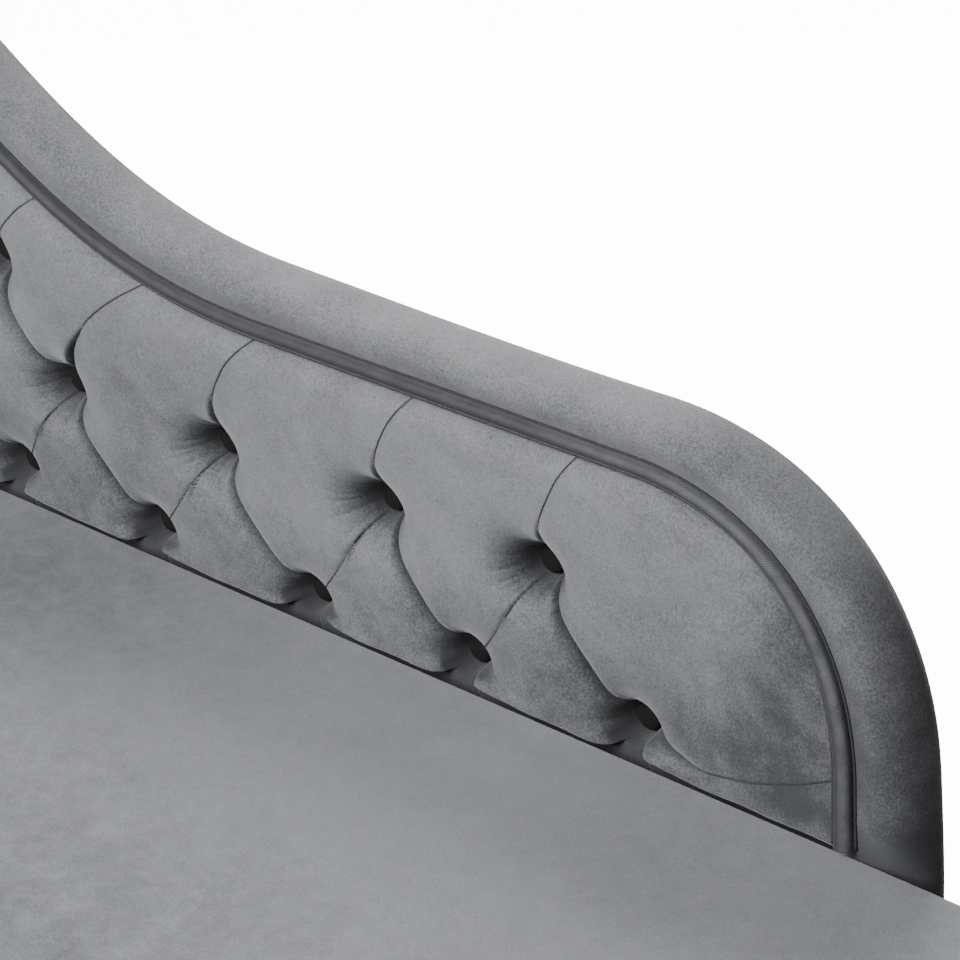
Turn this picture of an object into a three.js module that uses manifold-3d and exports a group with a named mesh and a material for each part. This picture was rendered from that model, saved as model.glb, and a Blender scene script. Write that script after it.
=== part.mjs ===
import * as THREE from "three";
import { mergeVertices } from "three/addons/utils/BufferGeometryUtils.js";
import Module from "manifold-3d";

const wasm = await Module();
wasm.setup();

// Whole couch, in millimetres: X from the head end to the foot end, Y from front to rear, Z up from the floor
const length = 1600;
const depth = 640;
const seatHeight = 430;
const gap = 0.3; // between pieces that touch
const overrun = 20; // how far a cutting shape runs past the face it cuts

// Base: four covered rails on legs
const headOverhang = 45; // from the base's head end to the couch's
const legHeight = 150;
const railHeight = 126;
const railThickness = 22;
const railCover = 4;
const blockSide = 95;
const blockHeight = 60;
const stretcherWidth = 40;
const stretcherHeight = 60;
const stretcherCount = 1;
const dustThickness = 1.2;
const strapWidth = 80;
const strapThickness = 3;
const strapCount = 4;
const feltThickness = 4.4;

// Turned legs
const legInset = 62;
const legRadius = 30;
const boltRadius = 5;
const boltLength = 45;
const glideHeight = 4;
const glideRadius = 13;
const legSides = 20;
const legShares = [
  [0.5, 0],
  [0.56, 0.04],
  [0.5, 0.09],
  [0.6, 0.3],
  [0.86, 0.6],
  [0.92, 0.72],
  [0.78, 0.8],
  [0.7, 0.83],
  [0.96, 0.87],
  [0.96, 0.91],
  [0.74, 0.94],
  [1, 0.955],
  [1, 1],
]; // radius and height of the turning

// Welts: piping sewn into the joints
const baseWeltRadius = 4;
const baseWeltProud = 2;
const baseCornerRadius = 12;
const backWeltRadius = 5.5;
const armWeltRadius = 5;
const weltSides = 8;

// Seat: crowned cover drawn over a foam block
const coverThickness = 3;
const seatCrown = 12;
const seatEdge = 14;
const seatSwell = 4;
const seatCorner = 34;
const seatRingPoints = 10; // on each corner
const crownShares = [0.12, 0.3, 0.55, 0.85]; // of the way in from the edge

// Back: a shaped board bolted behind the base, padded in front and rolled round its edge
const backDepth = 59;
const backSetback = 383; // the piping's foot end, from the couch's foot end
const headCrest = 49; // the roll's overhang past the piping, at the head end
const lowLine = 217.5; // piping above the seat, along the low run
const highLine = 388;
const footRoundWidth = 157;
const footRoundHeight = 165.5;
const sweepWidth = 300;
const crownWidth = 200;
const headRoundWidth = 191;
const headRoundHeight = 173;
const footRoundShare = 0.62;
const headRoundShare = 0.6;
const sweepStartShare = 0.4;
const sweepRiseShare = 0.59;
const sweepReachShare = 1 / 3;
const crownStartShare = 0.35;
const crownEndShare = 0.325;
const sweepSlope = 0.68;
const boardThickness = 12;
const rearCover = 5.7;
const rollThickness = 52;
const rollBulge = 40;
const rollFlange = 8; // the roll's inner lip, under the piping
const rollLipDepth = 3;
const rollBehindBoard = 2;
const rollShares = [
  [0, 1.25],
  [0.12, 1.3],
  [0.2, 1.06],
  [0.25, 0.88],
  [0.3, 0.82],
  [0.38, 0.9],
  [0.48, 1.02],
  [0.56, 1],
  [0.7, 1],
  [0.8, 1.18],
  [1, 1.22],
]; // share of the way round from the foot end, and share of the bulge
const archSteps = 52; // shared by all that follows the piping line
const rollArc = 10;
const bottomRailHeight = 60;
const uprightWidth = 60;
const uprightShares = [0.2, 0.8];

// Deep diamond tufting of the inside back
const buttonPitch = 150;
const rowPitch = 89.4;
const firstRow = 10.4; // above the seat
const lastButtonInset = 177; // from the piping's foot end
const buttonMargin = 60; // the least height of piping above a button
const buttonRadius = 11;
const buttonRim = 2.2;
const buttonDome = 4;
const buttonSides = 12;
const pocketGap = 1.2;
const buttonSetback = 22; // the button's seat, in front of the couch's rear face
const tuftCrest = 49; // the tufts' fullest point, in front of the buttons' seats
const tuftAtSeat = 36.7;
const tuftAtLine = 27;
const tuftAtSeam = 27;
const seamReach = 17;
const buttonReach = 26;
const edgeReach = 22;
const tuckDepth = 30;
const panelRows = 9;
const seamSteps = 6;
const topSeamLean = 48;
const sideSeamRise = 38;
const bowShare = 0.16;
const topBowShare = 0.22;
// how far each button sits off the even pattern, as shares of its pitch along and up, from the foot end
const buttonShiftShares = [
  [[-0.01, 0.03], [0.015, 0], [0.03, -0.05], [-0.015, -0.01], [-0.01, 0.04]],
  [[-0.02, 0.05], [0.04, 0.05], [-0.015, -0.015], [-0.07, 0]],
];

// Head end: a scroll arm across the couch
const armWidth = 133; // at the seat, in from the base's head end
const armRollRadius = 80;
const armRollHeight = 656; // centre, above the floor
const armRollProud = 40; // outwards of the base's head end
const armNeckHeight = 548;
const armNeckIn = 38;
const armNeckOut = 18;
const armBoard = 18;
const armFacing = 12;
const armBoardInset = 5;
const armRailWidth = 40;
const armRailHeight = 80;
const armArcPoints = 16;
const armNeckShares = [0, 0.35, 0.7, 1]; // of the way up the inside
const armStartAngle = -0.75;
const armEndAngle = 3.7;

// Faces that the pieces share
const footFace = length / 2 - baseWeltProud;
const headFace = -length / 2 + headOverhang;
const frontFace = -depth / 2 + baseWeltProud;
const rearEnd = depth / 2;
const baseRear = rearEnd - backDepth;
const railTop = legHeight + railHeight;
const woodHead = headFace + railCover + gap;
const woodFoot = footFace - railCover - gap;
const woodFront = frontFace + railCover + gap;
const woodRear = baseRear - railCover - gap;
const armInside = headFace + armWidth;
const weltTop = railTop + gap + 2 * baseWeltRadius;
const lineFoot = length / 2 - backSetback;
const lineHead = -length / 2 + headCrest;
const boardRear = rearEnd - rearCover - gap;
const boardFront = boardRear - boardThickness;
const panelBack = boardFront - gap;
const buttonSeat = rearEnd - buttonSetback;
const rollMiddle = boardRear + rollBehindBoard - rollThickness / 2;
const rollFront = rollMiddle - rollThickness / 2;
const weltMiddle = rollFront - rollLipDepth;
const flangeFront = weltMiddle + backWeltRadius + gap;

function finish(color, roughness) {
  return new THREE.MeshStandardMaterial({ color, roughness, metalness: 0 });
}

const velvet = finish(0x85888c, 0.85);
const weltVelvet = finish(0x6b6e73, 0.85);
const frameWood = finish(0xc2a077, 0.7);
const legWood = finish(0x3a2a20, 0.4);
const board = finish(0xa98a62, 0.75);
const foam = finish(0xe6dfc4, 0.95);
const felt = finish(0xb9b6ae, 0.95);
const webbing = finish(0x4a4a48, 0.8);
const cambric = finish(0x262628, 0.9);
const nylon = finish(0x2e2e30, 0.5);

const couch = new THREE.Group();

function add(name, geometry, material) {
  const mesh = new THREE.Mesh(geometry, material);
  mesh.name = name;
  couch.add(mesh);
  return mesh;
}

function solid(geometry) {
  const bare = geometry.clone();
  bare.deleteAttribute("normal");
  bare.deleteAttribute("uv");
  const merged = mergeVertices(bare);
  const vertProperties = new Float32Array(merged.attributes.position.array);
  const triVerts = new Uint32Array(merged.index.array);
  return new wasm.Manifold(new wasm.Mesh({ numProp: 3, vertProperties, triVerts }));
}

function geometryOf(body) {
  const mesh = body.getMesh();
  const geometry = new THREE.BufferGeometry();
  const corners = new Float32Array(mesh.vertProperties);
  geometry.setAttribute("position", new THREE.BufferAttribute(corners, 3));
  geometry.setIndex(new THREE.BufferAttribute(new Uint32Array(mesh.triVerts), 1));
  geometry.computeVertexNormals();
  return geometry;
}

// A block between two corners
function block(x0, x1, y0, y1, z0, z1) {
  const geometry = new THREE.BoxGeometry(x1 - x0, y1 - y0, z1 - z0);
  return geometry.translate((x0 + x1) / 2, (y0 + y1) / 2, (z0 + z1) / 2);
}

// An outline of [x, z] points, made solid from y0 back to y1
function slab(outline, y0, y1) {
  const shape = new THREE.Shape(outline.map(([x, z]) => new THREE.Vector2(x, z)));
  const geometry = new THREE.ExtrudeGeometry(shape, { depth: y1 - y0, bevelEnabled: false });
  return geometry.rotateX(Math.PI / 2).translate(0, y1, 0);
}

// A post of round section that stands on Z
function post(x, y, z0, z1, radius, sides) {
  const geometry = new THREE.CylinderGeometry(radius, radius, z1 - z0, sides);
  return geometry.rotateX(Math.PI / 2).translate(x, y, (z0 + z1) / 2);
}

// Rings of points joined in order, closed by flat caps, or into a loop
function loft(rings, looped = false) {
  const count = rings[0].length;
  const positions = rings.flat().flatMap((p) => [p.x, p.y, p.z]);
  const index = [];
  const last = looped ? rings.length : rings.length - 1;
  for (let i = 0; i < last; i++) {
    const next = ((i + 1) % rings.length) * count;
    for (let j = 0; j < count; j++) {
      const k = (j + 1) % count;
      index.push(i * count + j, i * count + k, next + k);
      index.push(i * count + j, next + k, next + j);
    }
  }
  if (!looped) {
    for (const [ring, flip] of [[0, true], [rings.length - 1, false]]) {
      for (const [a, b, c] of capOf(rings[ring])) {
        const face = flip ? [c, b, a] : [a, b, c];
        index.push(...face.map((v) => ring * count + v));
      }
    }
  }
  return facingOut(positions, index);
}

// Triangles over a flat ring, turned as the ring runs
function capOf(ring) {
  const normal = new THREE.Vector3();
  ring.forEach((p, i) => {
    const q = ring[(i + 1) % ring.length];
    normal.add(new THREE.Vector3().crossVectors(p, q));
  });
  normal.normalize();
  const across = new THREE.Vector3().subVectors(ring[1], ring[0]).normalize();
  const up = new THREE.Vector3().crossVectors(normal, across);
  const flat = ring.map((p) => new THREE.Vector2(p.dot(across), p.dot(up)));
  return THREE.ShapeUtils.triangulateShape(flat, []);
}

// Turns every face over if the shape came out inside out
function facingOut(positions, index) {
  let volume = 0;
  const point = (i) => new THREE.Vector3().fromArray(positions, 3 * i);
  for (let i = 0; i < index.length; i += 3) {
    const [a, b, c] = index.slice(i, i + 3).map(point);
    volume += a.dot(b.cross(c));
  }
  const ordered = volume < 0 ? index.reverse() : index;
  const geometry = new THREE.BufferGeometry();
  geometry.setAttribute("position", new THREE.Float32BufferAttribute(positions, 3));
  geometry.setIndex(ordered);
  geometry.computeVertexNormals();
  return geometry;
}

// A round cord of piping along points that lie in one plane, whose normal is given
function welt(points, normal, radius, looped = false) {
  const last = points.length - 1;
  const rings = points.map((p, i) => {
    const before = points[i > 0 ? i - 1 : looped ? last : 0];
    const after = points[i < last ? i + 1 : looped ? 0 : last];
    const along = new THREE.Vector3().subVectors(after, before).normalize();
    const side = new THREE.Vector3().crossVectors(along, normal);
    return Array.from({ length: weltSides }, (_, k) => {
      const turn = (2 * Math.PI * (k + 0.5)) / weltSides;
      const out = side.clone().multiplyScalar(radius * Math.cos(turn));
      return p.clone().add(out.addScaledVector(normal, radius * Math.sin(turn)));
    });
  });
  return loft(rings, looped);
}

// Moves an open line of [x, z] points to its right-hand side
function offset(line, distance) {
  return line.map(([x, z], i) => {
    const [x0, z0] = line[Math.max(i - 1, 0)];
    const [x1, z1] = line[Math.min(i + 1, line.length - 1)];
    const span = Math.hypot(x1 - x0, z1 - z0);
    return [x + (distance * (z1 - z0)) / span, z - (distance * (x1 - x0)) / span];
  });
}

// Linear reading of a table of [share, value] pairs
function readShares(table, share) {
  const next = table.findIndex(([at]) => at >= share);
  if (next <= 0) return table[next < 0 ? table.length - 1 : 0][1];
  const [s0, v0] = table[next - 1];
  const [s1, v1] = table[next];
  return v0 + ((v1 - v0) * (share - s0)) / (s1 - s0);
}

// The piping line over the back, from the foot end's round to the head end's round
function archPoints(count) {
  const low = seatHeight + lowLine;
  const high = seatHeight + highLine;
  const footRise = low - footRoundHeight;
  const lowFoot = lineFoot - footRoundWidth;
  const peakX = lineHead + headRoundWidth;
  const turnX = peakX + crownWidth;
  const lowHead = turnX + sweepWidth;
  const turnZ = low + sweepRiseShare * (high - low);
  const reach = sweepReachShare * sweepWidth;
  const crownReach = crownStartShare * crownWidth;
  const path = new THREE.Path();
  path.moveTo(lineFoot, footRise);
  path.bezierCurveTo(
    lineFoot, footRise + footRoundShare * footRoundHeight,
    lowFoot + footRoundShare * footRoundWidth, low,
    lowFoot, low,
  );
  path.lineTo(lowHead, low);
  path.bezierCurveTo(
    lowHead - sweepStartShare * sweepWidth, low,
    turnX + reach, turnZ - sweepSlope * reach,
    turnX, turnZ,
  );
  path.bezierCurveTo(
    turnX - crownReach, turnZ + sweepSlope * crownReach,
    peakX + crownEndShare * crownWidth, high,
    peakX, high,
  );
  path.bezierCurveTo(
    peakX - headRoundShare * headRoundWidth, high,
    lineHead, high - (1 - headRoundShare) * headRoundHeight,
    lineHead, high - headRoundHeight,
  );
  return path.getSpacedPoints(count).map((p) => [p.x, p.y]);
}

function rails() {
  const z0 = legHeight;
  const innerHead = woodHead + railThickness;
  const innerFoot = woodFoot - railThickness;
  const innerFront = woodFront + railThickness;
  const innerRear = woodRear - railThickness;
  add("front_rail", block(woodHead, woodFoot, woodFront, innerFront, z0, railTop), frameWood);
  add("rear_rail", block(woodHead, woodFoot, innerRear, woodRear, z0, railTop), frameWood);
  const crossFront = innerFront + gap;
  const crossRear = innerRear - gap;
  add("head_rail", block(woodHead, innerHead, crossFront, crossRear, z0, railTop), frameWood);
  add("foot_rail", block(innerFoot, woodFoot, crossFront, crossRear, z0, railTop), frameWood);
  for (let i = 1; i <= stretcherCount; i++) {
    const x = innerHead + ((innerFoot - innerHead) * i) / (stretcherCount + 1);
    const half = stretcherWidth / 2;
    const top = z0 + stretcherHeight;
    const beam = block(x - half, x + half, crossFront, crossRear, z0, top);
    add(`seat_stretcher_${i}`, beam, frameWood);
  }
}

function corners() {
  return [
    ["head_front", headFace, frontFace, 1, 1],
    ["head_rear", headFace, baseRear, 1, -1],
    ["foot_front", footFace, frontFace, -1, 1],
    ["foot_rear", footFace, baseRear, -1, -1],
  ];
}

function legs() {
  const top = legHeight - gap;
  const foot = glideHeight + gap;
  const turned = legShares.map(([r, h]) => [legRadius * r, foot + (top - foot) * h]);
  const profile = [
    [0, foot],
    ...turned,
    [boltRadius, top],
    [boltRadius, top + boltLength],
    [0, top + boltLength],
  ].map(([r, z]) => new THREE.Vector2(r, z));
  for (const [name, x, y, inX, inY] of corners()) {
    const legX = x + inX * legInset;
    const legY = y + inY * legInset;
    const turning = new THREE.LatheGeometry(profile, legSides).rotateX(Math.PI / 2);
    add(`leg_${name}`, turning.translate(legX, legY, 0), legWood);
    const glide = post(legX, legY, 0, glideHeight, glideRadius, legSides);
    add(`glide_${name}`, glide, nylon);
    const inner = railCover + railThickness + 2 * gap;
    const cornerX = x + inX * inner;
    const cornerY = y + inY * inner;
    const wedge = new THREE.Shape([
      new THREE.Vector2(cornerX, cornerY),
      new THREE.Vector2(cornerX + inX * blockSide, cornerY),
      new THREE.Vector2(cornerX, cornerY + inY * blockSide),
    ]);
    const prism = new THREE.ExtrudeGeometry(wedge, { depth: blockHeight, bevelEnabled: false });
    const blank = solid(prism.translate(0, 0, legHeight));
    const holeTop = legHeight + blockHeight + overrun;
    const hole = post(legX, legY, legHeight - overrun, holeTop, boltRadius + gap, legSides);
    add(`corner_block_${name}`, geometryOf(blank.subtract(solid(hole))), frameWood);
  }
}

function railCovers() {
  const z0 = legHeight;
  const inFront = frontFace + railCover;
  const inRear = baseRear - railCover;
  const front = block(headFace, footFace, frontFace, inFront, z0, railTop);
  add("front_rail_cover", front, velvet);
  add("rear_rail_cover", block(headFace, footFace, inRear, baseRear, z0, railTop), velvet);
  const y0 = inFront + gap;
  const y1 = inRear - gap;
  add("head_rail_cover", block(headFace, headFace + railCover, y0, y1, z0, railTop), velvet);
  add("foot_rail_cover", block(footFace - railCover, footFace, y0, y1, z0, railTop), velvet);
}

function dustCover() {
  const z1 = legHeight - gap;
  const z0 = z1 - dustThickness;
  let sheet = solid(block(woodHead, woodFoot, woodFront, woodRear, z0, z1));
  for (const [, x, y, inX, inY] of corners()) {
    const legX = x + inX * legInset;
    const legY = y + inY * legInset;
    const hole = post(legX, legY, z0 - overrun, z1 + overrun, legRadius + gap, legSides);
    sheet = sheet.subtract(solid(hole));
  }
  add("dust_cover", geometryOf(sheet), cambric);
}

function baseWelt() {
  const centre = railTop + gap + baseWeltRadius;
  const inset = baseWeltRadius - baseWeltProud;
  const round = baseCornerRadius;
  const points = [];
  for (const [x, y, turn] of [
    [footFace - inset, baseRear - inset, 0],
    [headFace + inset, baseRear - inset, 1],
    [headFace + inset, frontFace + inset, 2],
    [footFace - inset, frontFace + inset, 3],
  ]) {
    const cx = x > 0 ? x - round : x + round;
    const cy = y > 0 ? y - round : y + round;
    for (let i = 0; i <= 4; i++) {
      const angle = (Math.PI / 2) * (turn + i / 4);
      const px = cx + round * Math.cos(angle);
      points.push(new THREE.Vector3(px, cy + round * Math.sin(angle), centre));
    }
  }
  add("base_welt", welt(points, new THREE.Vector3(0, 0, 1), baseWeltRadius, true), weltVelvet);
}

// A level ring of points round the seat, drawn in from its full size
function seatRing(bounds, inset, corner, z) {
  const [x0, x1, y0, y1] = bounds;
  const radius = Math.max(corner - inset, corner / 4);
  const ring = [];
  for (const [x, y, turn] of [
    [x1 - inset - radius, y1 - inset - radius, 0],
    [x0 + inset + radius, y1 - inset - radius, 1],
    [x0 + inset + radius, y0 + inset + radius, 2],
    [x1 - inset - radius, y0 + inset + radius, 3],
  ]) {
    for (let i = 0; i < seatRingPoints; i++) {
      const angle = (Math.PI / 2) * (turn + i / (seatRingPoints - 1));
      const px = x + radius * Math.cos(angle);
      ring.push(new THREE.Vector3(px, y + radius * Math.sin(angle), z));
    }
  }
  return ring;
}

// A crowned block whose sides draw in at the bottom and round over at the top
function crowned(bounds, z0, top, edge, crown, corner) {
  const rings = [seatRing(bounds, seatSwell, corner, z0)];
  const side = top - edge - z0;
  rings.push(seatRing(bounds, 0, corner, z0 + side / 2));
  rings.push(seatRing(bounds, 0, corner, z0 + side));
  for (let i = 1; i <= 3; i++) {
    const angle = (Math.PI / 2) * (i / 3);
    const inset = edge * (1 - Math.cos(angle));
    rings.push(seatRing(bounds, inset, corner, z0 + side + edge * Math.sin(angle)));
  }
  const reach = (bounds[3] - bounds[2]) / 2 - edge;
  for (const share of crownShares) {
    const rise = crown * Math.sin((Math.PI / 2) * share);
    rings.push(seatRing(bounds, edge + share * reach, corner, top + rise));
  }
  return loft(rings);
}

function seat() {
  const bounds = [armInside + gap, footFace, frontFace, baseRear];
  const bottom = weltTop + gap;
  const outer = crowned(bounds, bottom, seatHeight, seatEdge, seatCrown, seatCorner);
  const wall = coverThickness + gap;
  const inside = (extra) => [
    bounds[0] + coverThickness + extra,
    bounds[1] - coverThickness - extra,
    bounds[2] + coverThickness + extra,
    bounds[3] - coverThickness - extra,
  ];
  const inEdge = seatEdge - coverThickness;
  const inCorner = seatCorner - coverThickness;
  const hollowTop = seatHeight - coverThickness;
  const hollowLow = bottom - overrun;
  const hollow = crowned(inside(0), hollowLow, hollowTop, inEdge, seatCrown, inCorner);
  const cover = solid(outer).subtract(solid(hollow));
  add("seat_cover", geometryOf(cover), velvet);

  const feltTop = railTop + strapThickness + feltThickness + 2 * gap;
  const foamBottom = feltTop + gap;
  const foamTop = seatHeight - wall;
  const core = crowned(inside(2 * gap), foamBottom, foamTop, inEdge, seatCrown, inCorner);
  add("seat_foam", core, foam);

  const strapFront = woodFront + railThickness / 2;
  const strapRear = woodRear - railThickness / 2;
  const strapFoot = woodFoot - railThickness;
  const strapLow = railTop + gap;
  const strapTop = strapLow + strapThickness;
  for (let i = 1; i <= strapCount; i++) {
    const x = armInside + ((strapFoot - armInside) * (i - 0.5)) / strapCount;
    const half = strapWidth / 2;
    const strap = block(x - half, x + half, strapFront, strapRear, strapLow, strapTop);
    add(`seat_strap_${i}`, strap, webbing);
  }
  const feltLow = strapTop + gap;
  const pad = block(armInside + wall, strapFoot, strapFront, strapRear, feltLow, feltTop);
  add("seat_felt", pad, felt);
}

// The scroll arm's outline from its inner foot, over the roll, to its outer foot
function armLine() {
  const roll = [headFace - armRollProud + armRollRadius, armRollHeight];
  const inner = (share) => {
    const draw = Math.sin((Math.PI / 2) * share);
    return [armInside - armNeckIn * draw, weltTop + gap + (armNeckHeight - weltTop) * share];
  };
  const arc = Array.from({ length: armArcPoints + 1 }, (_, i) => {
    const angle = armStartAngle + ((armEndAngle - armStartAngle) * i) / armArcPoints;
    return [roll[0] + armRollRadius * Math.cos(angle), roll[1] + armRollRadius * Math.sin(angle)];
  });
  const outNeck = [headFace + armNeckOut, armNeckHeight];
  const outFoot = [headFace, weltTop + gap];
  const middle = [headFace + armNeckOut / 2, (armNeckHeight + weltTop) / 2];
  return [...armNeckShares.map(inner), ...arc, outNeck, middle, outFoot];
}

function arm() {
  const line = armLine();
  const boardLine = offset(line, -armBoardInset);
  const facingLine = offset(line, -(armWeltRadius + gap));
  const level = (outline) => outline.map(([x, z]) => [x, Math.max(z, weltTop + gap)]);
  const facingRear = frontFace + armFacing;
  const frontBoardRear = facingRear + gap + armBoard;
  const rearBoardFront = baseRear - armBoard;
  add("arm_facing", slab(level(facingLine), frontFace, facingRear), velvet);
  add("arm_front_board", slab(level(boardLine), facingRear + gap, frontBoardRear), board);
  add("arm_rear_board", slab(level(boardLine), rearBoardFront, baseRear), board);
  const padFront = frontBoardRear + gap;
  const padRear = rearBoardFront - gap;
  const rollX = headFace - armRollProud + armRollRadius;
  const half = armRailWidth / 2;
  const railLow = armRollHeight - armRailHeight / 2;
  const railHigh = armRollHeight + armRailHeight / 2;
  const rail = block(rollX - half, rollX + half, padFront, padRear, railLow, railHigh);
  add("arm_rail", rail, frameWood);
  const tunnel = block(
    rollX - half - gap, rollX + half + gap,
    padFront - overrun, padRear + overrun,
    railLow - gap, railHigh + gap,
  );
  const pad = solid(slab(level(line), padFront, padRear)).subtract(solid(tunnel));
  add("arm_pad", geometryOf(pad), velvet);

  const weltY = frontFace + armWeltRadius;
  const weltLow = weltTop + armWeltRadius / 4;
  const weltLine = line.map(([x, z]) => new THREE.Vector3(x, weltY, Math.max(z, weltLow)));
  const facingWelt = welt(weltLine, new THREE.Vector3(0, -1, 0), armWeltRadius);
  add("arm_welt", facingWelt, weltVelvet);
}

function backFrame() {
  const inset = rollFlange + gap;
  const line = [
    [lineFoot, legHeight],
    ...archPoints(archSteps),
    [lineHead, legHeight],
  ];
  const outline = offset(line, -inset).map(([x, z]) => [x, Math.max(z, legHeight)]);
  add("back_board", slab(outline, boardFront, boardRear), board);
  add("back_rear_cover", slab(outline, rearEnd - rearCover, rearEnd), velvet);
  const x0 = lineHead + inset;
  const x1 = lineFoot - inset;
  const y0 = baseRear + gap;
  const railHigh = legHeight + bottomRailHeight;
  add("back_bottom_rail", block(x0, x1, y0, panelBack, legHeight, railHigh), frameWood);
  uprightShares.forEach((share, i) => {
    const x = x0 + (x1 - x0) * share;
    const half = uprightWidth / 2;
    const top = seatHeight - tuckDepth - gap;
    const upright = block(
      x - half, x + half,
      y0 + baseWeltProud, panelBack,
      railHigh + gap, top,
    );
    add(`back_upright_${i + 1}`, upright, frameWood);
  });
}

// The roll round the back's edge: a lip under the piping, then a rounded crest
function rollSection(bulge) {
  const half = rollThickness / 2;
  const lip = backWeltRadius + gap;
  const points = [
    [-rollFlange, flangeFront],
    [-rollFlange, rollMiddle + half - rollLipDepth],
  ];
  for (let i = 0; i <= rollArc; i++) {
    const last = Math.PI - Math.asin(lip / bulge);
    const angle = (last * i) / rollArc;
    points.push([bulge * Math.sin(angle), rollMiddle + half * Math.cos(angle)]);
  }
  points.push([lip, flangeFront]);
  return points;
}

function backRoll() {
  const line = [
    [lineFoot, legHeight],
    [lineFoot, (legHeight + seatHeight) / 2],
    ...archPoints(archSteps),
    [lineHead, (legHeight + seatHeight) / 2],
    [lineHead, legHeight],
  ];
  const runs = line.map(([x, z], i) => {
    const [px, pz] = line[Math.max(i - 1, 0)];
    return Math.hypot(x - px, z - pz);
  });
  const total = runs.reduce((sum, run) => sum + run, 0);
  const crests = line.map((_, i) => {
    const way = runs.slice(0, i + 1).reduce((sum, run) => sum + run, 0);
    return rollBulge * readShares(rollShares, way / total);
  });
  const out = offset(line, 1);
  const rings = line.map(([x, z], i) => {
    const outX = out[i][0] - x;
    const outZ = out[i][1] - z;
    return rollSection(crests[i]).map(([o, y]) => new THREE.Vector3(x + outX * o, y, z + outZ * o));
  });
  add("back_roll", loft(rings), velvet);
}

function backWelt() {
  const bottom = seatHeight + gap;
  const armTop = armRollHeight + armRollRadius + gap;
  const shown = archPoints(archSteps).filter(([x, z]) => x > armInside || z > armTop);
  const line = [[lineFoot, bottom], ...shown];
  const points = line.map(([x, z]) => new THREE.Vector3(x, weltMiddle, z));
  const cord = welt(points, new THREE.Vector3(0, -1, 0), backWeltRadius);
  add("back_welt", cord, weltVelvet);
}

// The height of the piping line over a place along the back
function lineAbove(arch, x) {
  for (let i = 1; i < arch.length; i++) {
    const [x0, z0] = arch[i - 1];
    const [x1, z1] = arch[i];
    if (x <= x0 && x >= x1 && x0 > x1) return z0 + ((z1 - z0) * (x0 - x)) / (x0 - x1);
  }
  return seatHeight;
}

function buttonAt(row, column) {
  const shifts = buttonShiftShares[row] ?? [];
  const [alongShare, upShare] = shifts[column] ?? [0, 0];
  const half = row % 2 === 0 ? 0 : 0.5;
  const x = lineFoot - lastButtonInset - buttonPitch * (column + half - alongShare);
  return [x, seatHeight + firstRow + rowPitch * (row + upShare)];
}

function buttonPlaces(arch) {
  const places = [];
  const columns = Math.ceil((lineFoot - armInside) / buttonPitch);
  const rows = Math.ceil(highLine / rowPitch);
  for (let row = 0; row < rows; row++) {
    for (let column = 0; column < columns; column++) {
      const [x, z] = buttonAt(row, column);
      const inside = x > armInside + 2 * buttonRadius && x < lineFoot - buttonMargin;
      if (inside && lineAbove(arch, x) - z > buttonMargin) places.push({ row, column, x, z });
    }
  }
  return places;
}

// A bowed line between two points
function bowed([x0, z0], [x1, z1], bow) {
  const middle = new THREE.Vector2((x0 + x1) / 2 - bow * (z1 - z0), (z0 + z1) / 2 + bow * (x1 - x0));
  const start = new THREE.Vector2(x0, z0);
  const curve = new THREE.QuadraticBezierCurve(start, middle, new THREE.Vector2(x1, z1));
  return curve.getPoints(seamSteps).map((p) => [p.x, p.y]);
}

// Folds from button to button, down to the seat and up to the piping
function seamLines(arch, places) {
  const seams = [];
  const known = (row, column) => places.find((p) => p.row === row && p.column === column);
  for (const { row, column, x, z } of places) {
    const right = row % 2 === 0 ? column - 1 : column;
    if (row === 0) {
      seams.push([[x, z], [x, seatHeight - tuckDepth]]);
    } else {
      seams.push(bowed([x, z], buttonAt(row - 1, right + 1), 0));
      if (right >= 0) seams.push(bowed([x, z], buttonAt(row - 1, right), bowShare));
    }
    if (!known(row + 1, right) && !(row === 0 && right < 0)) {
      const topX = x + topSeamLean;
      seams.push(bowed([x, z], [topX, lineAbove(arch, topX)], topBowShare));
    }
    if (row === 0 && right < 0) {
      seams.push(bowed([x, z], [lineFoot, z + sideSeamRise], -bowShare));
    }
  }
  return seams;
}

function distanceTo(line, x, z) {
  let least = Infinity;
  for (let i = 1; i < line.length; i++) {
    const [x0, z0] = line[i - 1];
    const dx = line[i][0] - x0;
    const dz = line[i][1] - z0;
    const along = ((x - x0) * dx + (z - z0) * dz) / (dx * dx + dz * dz);
    const t = THREE.MathUtils.clamp(along, 0, 1);
    least = Math.min(least, Math.hypot(x - x0 - t * dx, z - z0 - t * dz));
  }
  return least;
}

// How far the cover stands in front of the buttons' seats
function tuftHeight(x, z, edge, seams, places) {
  const seam = Math.min(...seams.map((line) => distanceTo(line, x, z)));
  const button = Math.min(...places.map((p) => Math.hypot(x - p.x, z - p.z)));
  const nearSeam = Math.exp(-((seam / seamReach) ** 2));
  const nearButton = Math.exp(-((button / buttonReach) ** 2));
  const nearEdge = Math.exp(-((edge / edgeReach) ** 2));
  const nearSeat = Math.exp(-(Math.max(z - seatHeight, 0) / edgeReach));
  const full = tuftCrest - (tuftCrest - tuftAtLine) * nearEdge;
  const low = Math.min(full, tuftCrest - (tuftCrest - tuftAtSeat) * nearSeat);
  const folded = low - (tuftCrest - tuftAtSeam) * nearSeam * (1 - nearEdge);
  return folded * (1 - nearButton);
}

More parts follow.
